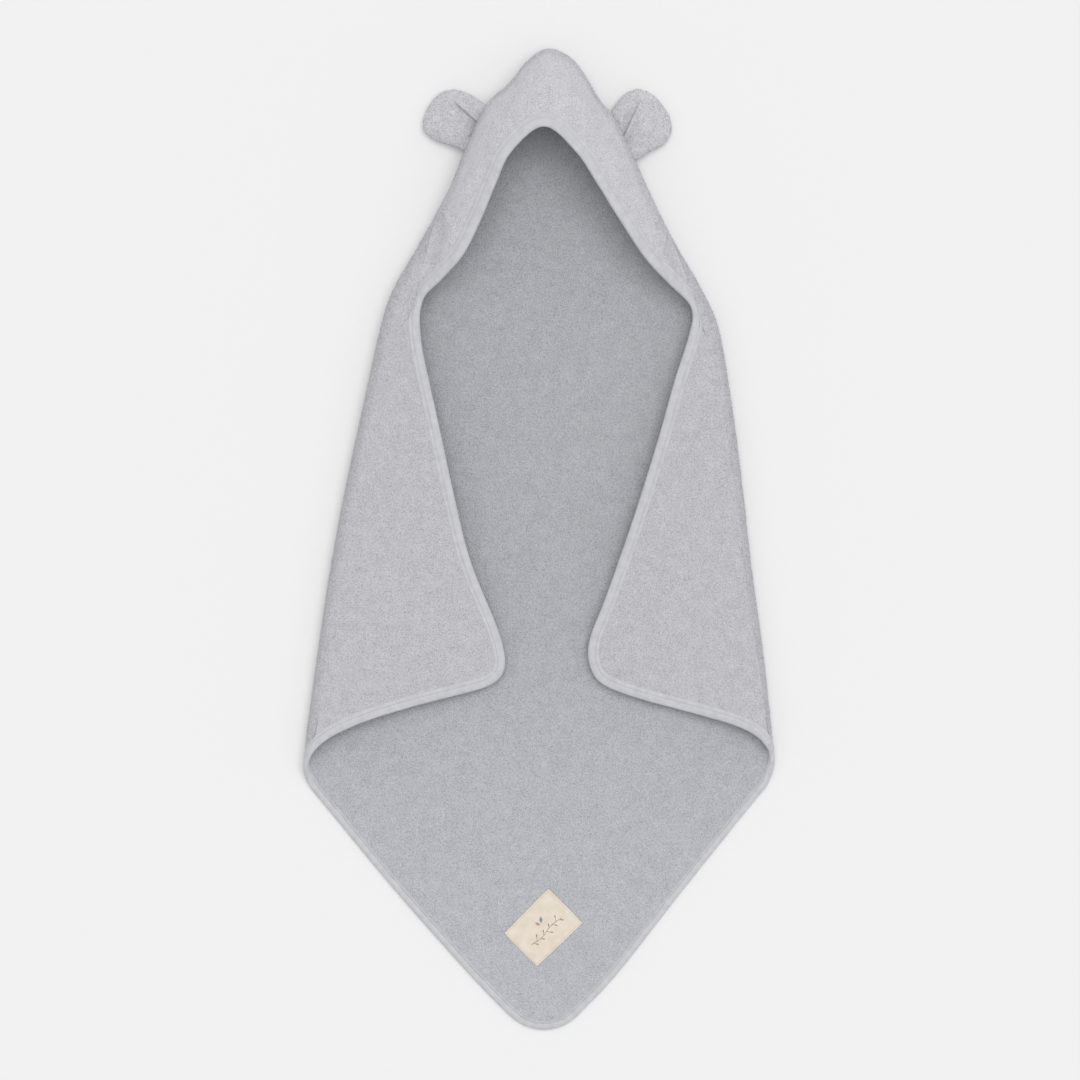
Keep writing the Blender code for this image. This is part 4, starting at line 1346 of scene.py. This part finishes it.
def on_rolled_side(name, centre, normal):
    """True where the back's sheet faces outwards on its rolled side, clear of the ear."""
    sign, side = SIGN[name], SIDE[name]
    ear_top, ear_bottom = (y * HALF_LENGTH + CENTRE[1] for y in EAR_BASE[name])
    by_ear = ear_bottom - EAR_ROOM < centre.y < ear_top + EAR_ROOM
    outwards = normal.x * sign > 0.35 and normal.z > -0.5 and centre.x * sign > 0
    raised = centre.z > MIDDLE + CLOTH and centre.y > side.foot[1] - 0.004
    return outwards and raised and not by_ear


def on_hood_slope(centre, normal):
    """True where the hood's outer face slopes down to its seam."""
    from_middle = centre.x * normal.x + (centre.y - HOOD_MIDDLE) * normal.y
    return 0.05 < normal.z < 0.72 and centre.z < HOOD_LOOPS_TOP and from_middle > 0


side_loops = {}
for name in SIDES:
    patch = patch_of(back_cloth, lambda c, n: on_rolled_side(name, c, n))
    side_loops[name] = made_by_nodes(name + "_side_loops", patch, LOOPS,
                                     {"Apart": SIDE_LOOPS_APART, "Seed": 8}, TERRY_OUT)
hood_patch = patch_of(hood_cloth, on_hood_slope)
hood_loops = made_by_nodes("hood_loops", hood_patch, LOOPS,
                           {"Apart": HOOD_LOOPS_APART, "Seed": 9}, TERRY_HOOD_PAINTED_LIGHTER)

# %% [markdown]
# ## Stitches
#
# A binding is sewn down with one line of stitches near its inner edge. A stitch is a short
# length of thread that rises from one hole and dips into the next, so from above it is a
# small slim bead. Geometry Nodes lay one bead every 2.6 mm along a line, and turn it to
# the line's direction.

# %% The stitch, and the tree that lays it along a line
STITCH_APART = 0.0026
STITCH_HALF_SIZE = (0.00024, 0.00024, 0.00105)
STITCH_PROUD = 0.0001


def stitch_shape():
    """One visible stitch, a slim bead of thread."""
    mesh = bmesh.new()
    bmesh.ops.create_uvsphere(mesh, u_segments=6, v_segments=5, radius=1.0)
    bmesh.ops.scale(mesh, vec=STITCH_HALF_SIZE, verts=mesh.verts)
    return bpy.data.objects.new("stitch", data_from(mesh, "stitch", shaded=True))


def stitch_tree(stitch, finish):
    """Lays stitches at even steps along the edges of its input."""
    tree, given, result = new_tree("running_stitches",
                                   {"Apart": ("NodeSocketFloat", STITCH_APART)})
    line = add_node(tree, "GeometryNodeMeshToCurve", {}, {}, {"Mesh": (given, "Geometry")})
    points = add_node(tree, "GeometryNodeCurveToPoints", {"mode": "LENGTH"}, {},
                      {"Curve": (line, "Curve"), "Length": (given, "Apart")})
    return copies_on(points, stitch, finish, tree, result, {"Rotation": (points, "Rotation")})


def line_mesh(points, closed=False):
    """A line of edges through some points."""
    data = bpy.data.meshes.new("line")
    edges = [(i, i + 1) for i in range(len(points) - 1)]
    edges += [(len(points) - 1, 0)] if closed else []
    data.from_pydata([tuple(p) for p in points], edges, [])
    return data


# %% Sewing thread, and the stitches of every tape


def thread_finish(name, colour):
    """Spun polyester sewing thread: a slight sheen, and a twist too fine to see."""
    made, tree, shader = new_material(name, {"Roughness": 0.6, "Sheen Weight": 0.2,
                                             "Specular IOR Level": 0.4})
    place = add_node(tree, "ShaderNodeTexCoord")
    twist = add_node(tree, "ShaderNodeTexNoise", {}, {"Scale": 1500.0, "Detail": 2.0},
                     {"Vector": (place, "Object")})
    darker = [c * 0.86 for c in linear(colour)[:3]] + [1.0]
    shade = add_node(tree, "ShaderNodeMix", {"data_type": "RGBA"}, {6: darker, 7: linear(colour)},
                     {0: (twist, "Fac")})
    linked_up(tree, shader, (shade, 2), (twist, "Fac"), 0.3, 0.0001)
    return made


GREY_THREAD = thread_finish("grey_sewing_thread", "#ADADB2")
CREAM_THREAD = thread_finish("cream_sewing_thread", "#E2D8C8")
STITCH_LINES = stitch_tree(stitch_shape(), GREY_THREAD)


def seam_line(run):
    """Places of the stitches along one run of the tape, in its groove on the side seen."""
    inside = np.flatnonzero(EDGE_RUN == run)
    k = int(round(GROOVE_AT * TAPE_STEPS))
    seen = 1.0 if run == "lower" else -1.0
    depth = groove_depth(run, len(inside))[:, None]
    height = TAPE_REACH + TAPE / 2 - depth + STITCH_PROUD
    return UNDER[inside, k] + seen * UNDER_UP[inside, k] * height


stitches = {run: made_by_nodes(run + "_tape_stitches", line_mesh(seam_line(run)), STITCH_LINES,
                               {"Apart": STITCH_APART}, GREY_THREAD) for run in RUNS}

# %% [markdown]
# ## The sewn-on label
#
# The label is a small rectangle of unbleached cotton tape with its edges turned under and
# a line of fine stitches round it. Cotton that has been washed is never quite flat, so the
# sheet has a faint crease and its corners lift a little. Its decoration here is a plain
# sprig with two leaves, laid on as thread.

# %% Label cloth
LABEL_LOW, LABEL_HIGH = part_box("woven_label")
LABEL_LONG, LABEL_SHORT, LABEL_TURN = 0.0655, 0.0495, math.radians(44.5)
LABEL_THICK = 0.0006
LABEL_FLOAT = 0.0006
LABEL_WAVE, WAVE_LENGTH = 0.00035, 0.020
CREASE_HEIGHT, CREASE_WIDTH = 0.00035, 0.0012
CORNER_LIFT, HEM_SINK = 0.0004, 0.0003
LABEL_ALONG = np.array([math.cos(LABEL_TURN), math.sin(LABEL_TURN)])
LABEL_ACROSS = np.array([-LABEL_ALONG[1], LABEL_ALONG[0]])
LABEL_CENTRE = np.array([(LABEL_LOW.x + LABEL_HIGH.x) / 2, (LABEL_LOW.y + LABEL_HIGH.y) / 2])
WEAVE = 0.0007


# %% Label material


def label_material():
    """Unbleached plain-woven cotton: warm cream, fine crossing threads, matt."""
    made, tree, shader = new_material("unbleached_cotton_label", {
        "Roughness": 0.85, "Specular IOR Level": 0.25, "Sheen Weight": 0.1})
    place = add_node(tree, "ShaderNodeUVMap", {"uv_map": "cloth"})
    waves = [add_node(tree, "ShaderNodeTexWave", {"bands_direction": way, "wave_profile": "SIN"},
                      {"Scale": 2 * math.pi / (20 * WEAVE), "Distortion": 1.2, "Detail": 2.0,
                       "Detail Scale": 3.0}, {"Vector": (place, "UV")}) for way in ("X", "Y")]
    threads = add_node(tree, "ShaderNodeMath", {"operation": "MULTIPLY"}, {},
                       {0: (waves[0], "Fac"), 1: (waves[1], "Fac")})
    slub = add_node(tree, "ShaderNodeTexNoise", {}, {"Scale": 90.0, "Detail": 5.0},
                    {"Vector": (place, "UV")})
    both = add_node(tree, "ShaderNodeMath", {"operation": "MULTIPLY_ADD"}, {1: 0.45},
                    {0: (threads, 0), 2: (slub, "Fac")})
    share = add_node(tree, "ShaderNodeMapRange", {}, {"From Min": 0.35, "From Max": 0.95},
                     {"Value": (both, 0)})
    colour = add_node(tree, "ShaderNodeMix", {"data_type": "RGBA"},
                      {6: linear("#DCCFBD"), 7: linear("#EFE6DA")}, {0: (share, 0)})
    linked_up(tree, shader, (colour, 2), (both, 0), 0.5, 0.0002)
    return made


# %% The label and its stitches


def on_label(u, v, above=0.0):
    """A place on the label, u along its long side and v across it, from its middle."""
    along, across = u / (LABEL_LONG / 2), v / (LABEL_SHORT / 2)
    u = u * (1 - 0.012 * across ** 2)
    v = v * (1 + 0.018 * along) * (1 - 0.010 * along ** 2)
    plan = LABEL_CENTRE + LABEL_ALONG * u + LABEL_ACROSS * v
    corner = smooth((abs(along) - 0.75) / 0.25) * smooth((abs(across) - 0.7) / 0.3)
    crease = CREASE_HEIGHT * math.exp(-((u * 0.35 + v - 0.006) / CREASE_WIDTH) ** 2)
    hem = -HEM_SINK * smooth((max(abs(along), abs(across)) - 0.955) / 0.045)
    wave = LABEL_WAVE * noise.noise(Vector((u, v, 0.4)) / WAVE_LENGTH)
    base = MIDDLE + CLOTH / 2 + LABEL_THICK / 2 + LABEL_FLOAT
    return np.array([plan[0], plan[1], base + CORNER_LIFT * corner + crease + hem + wave + above])


def make_label():
    """The label's sheet with its UV map, in metres."""
    us = np.linspace(-LABEL_LONG / 2, LABEL_LONG / 2, 90)
    vs = np.linspace(-LABEL_SHORT / 2, LABEL_SHORT / 2, 68)
    grid = np.array([[on_label(u, v) for v in vs] for u in us])
    mesh = mesh_from_grids("sewn_label", [grid], inner_up=True)
    obj = add_object("sewn_label", mesh, label_material())
    uv = obj.data.uv_layers.new(name="cloth")
    for loop in obj.data.loops:
        place = np.array(obj.data.vertices[loop.vertex_index].co[:2]) - LABEL_CENTRE
        uv.data[loop.index].uv = (float(place @ LABEL_ALONG), float(place @ LABEL_ACROSS))
    return made_solid(obj, LABEL_THICK)


label = make_label()
LABEL_SEAM_INSET = 0.0017
LABEL_STITCH_APART = 0.0020
u0, v0 = LABEL_LONG / 2 - LABEL_SEAM_INSET, LABEL_SHORT / 2 - LABEL_SEAM_INSET
corners = np.array([(-u0, -v0), (u0, -v0), (u0, v0), (-u0, v0), (-u0, -v0)])
along_side = np.linspace(0, 1, 40, endpoint=False)
around = [on_label(*(p + (q - p) * t), above=LABEL_THICK / 2 + STITCH_PROUD)
          for p, q in zip(corners[:-1], corners[1:]) for t in along_side]
label_stitches = made_by_nodes("label_stitches", line_mesh(around, closed=True), STITCH_LINES,
                               {"Apart": LABEL_STITCH_APART}, CREAM_THREAD)

# %% Sprig on the label
THREAD_RADIUS, THREAD_PROUD = 0.00022, 0.00008
STEM_LINE, STEM_SWAY, STEM_WAVE = -0.0052, 0.0011, 0.0052


def thread_along(mesh, points, radius, sides=6):
    """A thread laid through some points, with closed tapered ends."""
    points = np.array(points)
    rings = []
    for i, point in enumerate(points):
        ahead = unit(points[min(i + 1, len(points) - 1)] - points[max(i - 1, 0)])
        across = unit(np.cross(ahead, [0, 0, 1]))
        up = np.cross(across, ahead)
        size = radius * (0.35 if i in (0, len(points) - 1) else 1.0)
        rings.append([mesh.verts.new(point + size * (across * math.cos(a) + up * math.sin(a)))
                      for a in np.linspace(0, 2 * math.pi, sides, endpoint=False)])
    join_rings(mesh, rings)


# %% The shapes of the sprig and its leaves


def leaf_outline(middle, lean, length, width, count=24):
    """A drop-shaped leaf on the label as a closed line."""
    points = []
    for t in np.linspace(0, 2 * math.pi, count):
        along = -math.cos(t) * length / 2
        across = math.sin(t) * width / 2 * (0.55 + 0.45 * math.cos(t))
        points.append((middle[0] + along * math.cos(lean) - across * math.sin(lean),
                       middle[1] + along * math.sin(lean) + across * math.cos(lean)))
    return points


def thread_piece(name, lines, finish):
    """Several threads on the label as one piece."""
    mesh = bmesh.new()
    for line in lines:
        places = [on_label(u, v, above=LABEL_THICK / 2 + THREAD_PROUD) for u, v in line]
        thread_along(mesh, places, THREAD_RADIUS)
    bmesh.ops.recalc_face_normals(mesh, faces=mesh.faces)
    return add_object(name, data_from(mesh, name, shaded=True), finish)


def sprig_lines():
    """A wavy stem with small buds on either side of it, along the label."""
    def stem_at(u):
        return u, STEM_LINE + STEM_SWAY * math.sin(u / STEM_WAVE)

    lines = [[stem_at(u) for u in np.linspace(-0.021, 0.021, 70)]]
    for i, u in enumerate(np.linspace(-0.0185, 0.0185, 9)):
        start = stem_at(u)
        side = 1 if i % 2 else -1
        reach = 0.0030 + 0.0012 * math.sin(2.1 * i)
        lines.append([(start[0] + t * reach * 0.7, start[1] + side * t * reach)
                      for t in np.linspace(0, 1, 8)])
        lines.append(leaf_outline((start[0] + reach * 0.85, start[1] + side * (reach + 0.0006)),
                                  side * 0.9, 0.0024, 0.0013, 14))
    return lines


def filled_leaf(middle, lean, length, width):
    """A leaf filled with close threads laid side by side."""
    steps = np.linspace(-1, 1, 12)
    along = steps * length / 2
    halves = width / 2 * (1 - np.abs(steps) ** 1.5)
    return [[(middle[0] + a * math.cos(lean) - share * w * math.sin(lean),
              middle[1] + a * math.sin(lean) + share * w * math.cos(lean))
             for a, w in zip(along, halves)] for share in np.linspace(-0.8, 0.8, 7)]


# %% Sprig and leaves in thread
BROWN_THREAD = thread_finish("brown_embroidery_thread", "#8B7765")
SAGE_THREAD = thread_finish("sage_embroidery_thread", "#9AA9A6")
ROSE_THREAD = thread_finish("rose_embroidery_thread", "#C9A493")
SAGE_LEAF = filled_leaf((0.0042, 0.0075), 0.9, 0.0068, 0.0036)
ROSE_LEAF = filled_leaf((-0.0012, 0.0068), 1.9, 0.0056, 0.0030)
label_parts = [label_stitches, thread_piece("label_sprig", sprig_lines(), BROWN_THREAD),
               thread_piece("label_sage_leaf", SAGE_LEAF, SAGE_THREAD),
               thread_piece("label_rose_leaf", ROSE_LEAF, ROSE_THREAD)]

# %% [markdown]
# ## How the pieces ride on the frame
#
# The cloth was cut as one square of 75 cm and folded. The two wings are folded in along
# straight lines, so each is a triangle of that square, and the hood is a second triangle
# with a curved front. The back's area is what is left of the square with its corners
# rounded.
#
# The back, the lower tape, its stitches, the label and the loops on the rolled sides ride
# on the back's body of the frame, and each ear with its loops on its own ear's body. Cloth
# has no hinge pins: it bends over a stretch. The wings' and the hood's pieces here only
# have their placement baked into their meshes; they are not blended or put on a body.

# %% Riding on the frame
LOW_BODY = "towel_body"


def wing_blend(obj, name):
    """Bake a wing's piece's placement into its mesh; the way away from the cut at its head is
    worked out but not used.
    """
    side = SIDE[name]
    cut = unit(side.head - side.corner[:2])
    away = np.array([cut[1], -cut[0]])
    away *= -np.sign(away[0]) * side.sign
    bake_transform(obj)


def hood_blend(obj):
    """Bake a piece of the hood's placement into its mesh."""
    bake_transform(obj)


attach(back_cloth, LOW_BODY)
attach(tapes["lower"], LOW_BODY)
hood_blend(hood_cloth)
hood_blend(tapes["hood"])
for name in SIDES:
    wing_blend(wing_cloth[name], name)
    wing_blend(tapes[name + "_wing"], name)
    wing_blend(stitches[name + "_wing"], name)
hood_blend(hood_loops)
hood_blend(stitches["hood"])
for piece in [stitches["lower"], label, *label_parts]:
    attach(piece, LOW_BODY)
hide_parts("woven_label")
for name in SIDES:
    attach(ears[name], name + "_ear")
    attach(ear_loops[name], name + "_ear")
    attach(side_loops[name], LOW_BODY)
    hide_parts(name + "_ear_front", name + "_ear_back")
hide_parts("back_panel", "left_side", "right_side")
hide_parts("hood_panel")
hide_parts("lower_binding")
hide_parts("hood_binding")
for name in SIDES:
    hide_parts(name + "_flap")
    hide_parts(name + "_flap_binding")

# %% [markdown]
# ## An empty step
#
# The loop below over the two sides does nothing: no piece is declared here.

# %% An empty loop over the sides
for name in SIDES:
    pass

# %% [markdown]
# ## Floor, light and camera
#
# A towel this pale is shown on matt white paper in an even light. The room's soft light
# gives most of it, and one broad lamp almost straight above gives the rest, so that the
# folds throw only a faint shade and the inside of the hood stays open to the eye. The
# camera looks straight down from far away, as a catalogue shows a towel laid flat.

# %% Floor, light and camera
FLOOR_SIZE, FLOOR_GAP = 8.0, 0.0003
bpy.ops.mesh.primitive_plane_add(size=FLOOR_SIZE, location=(0, 0, CAD_LOW.z - FLOOR_GAP))
floor = bpy.context.object
floor.name = "studio_floor"
paper = new_material("matt_paper_floor", {
    "Base Color": linear("#F0F0F0"), "Roughness": 0.95, "Specular IOR Level": 0.1})
floor.data.materials.append(paper[0])

world = bpy.data.worlds.new("soft_room")
world.use_nodes = True
room = world.node_tree.nodes["Background"].inputs
room["Color"].default_value = linear("#FBFBFB")
room["Strength"].default_value = 0.62
bpy.context.scene.world = world


# %% Lamp and camera


def add_window_light(towards, strength, spread_degrees):
    """Broad light from one side, even over the whole floor, like a large far window."""
    lamp = bpy.data.lights.new("window_light", "SUN")
    lamp.energy = strength
    lamp.angle = math.radians(spread_degrees)
    obj = bpy.data.objects.new("window_light", lamp)
    bpy.context.scene.collection.objects.link(obj)
    obj.rotation_mode = "QUATERNION"
    obj.rotation_quaternion = Vector(towards).to_track_quat("-Z", "Y")


add_window_light((-0.12, -0.20, -1.0), 1.35, 50.0)
camera_data = bpy.data.cameras.new("camera")
camera = bpy.data.objects.new("camera", camera_data)
bpy.context.scene.collection.objects.link(camera)
FRAME_WIDTH = 1.123
camera_data.lens = 250.0
camera_data.sensor_width = 36.0
camera.location = (0.0, 0.0, FRAME_WIDTH * camera_data.lens / camera_data.sensor_width)
camera_data.clip_end = 100.0
bpy.context.scene.camera = camera
bpy.context.scene.view_settings.view_transform = "Standard"
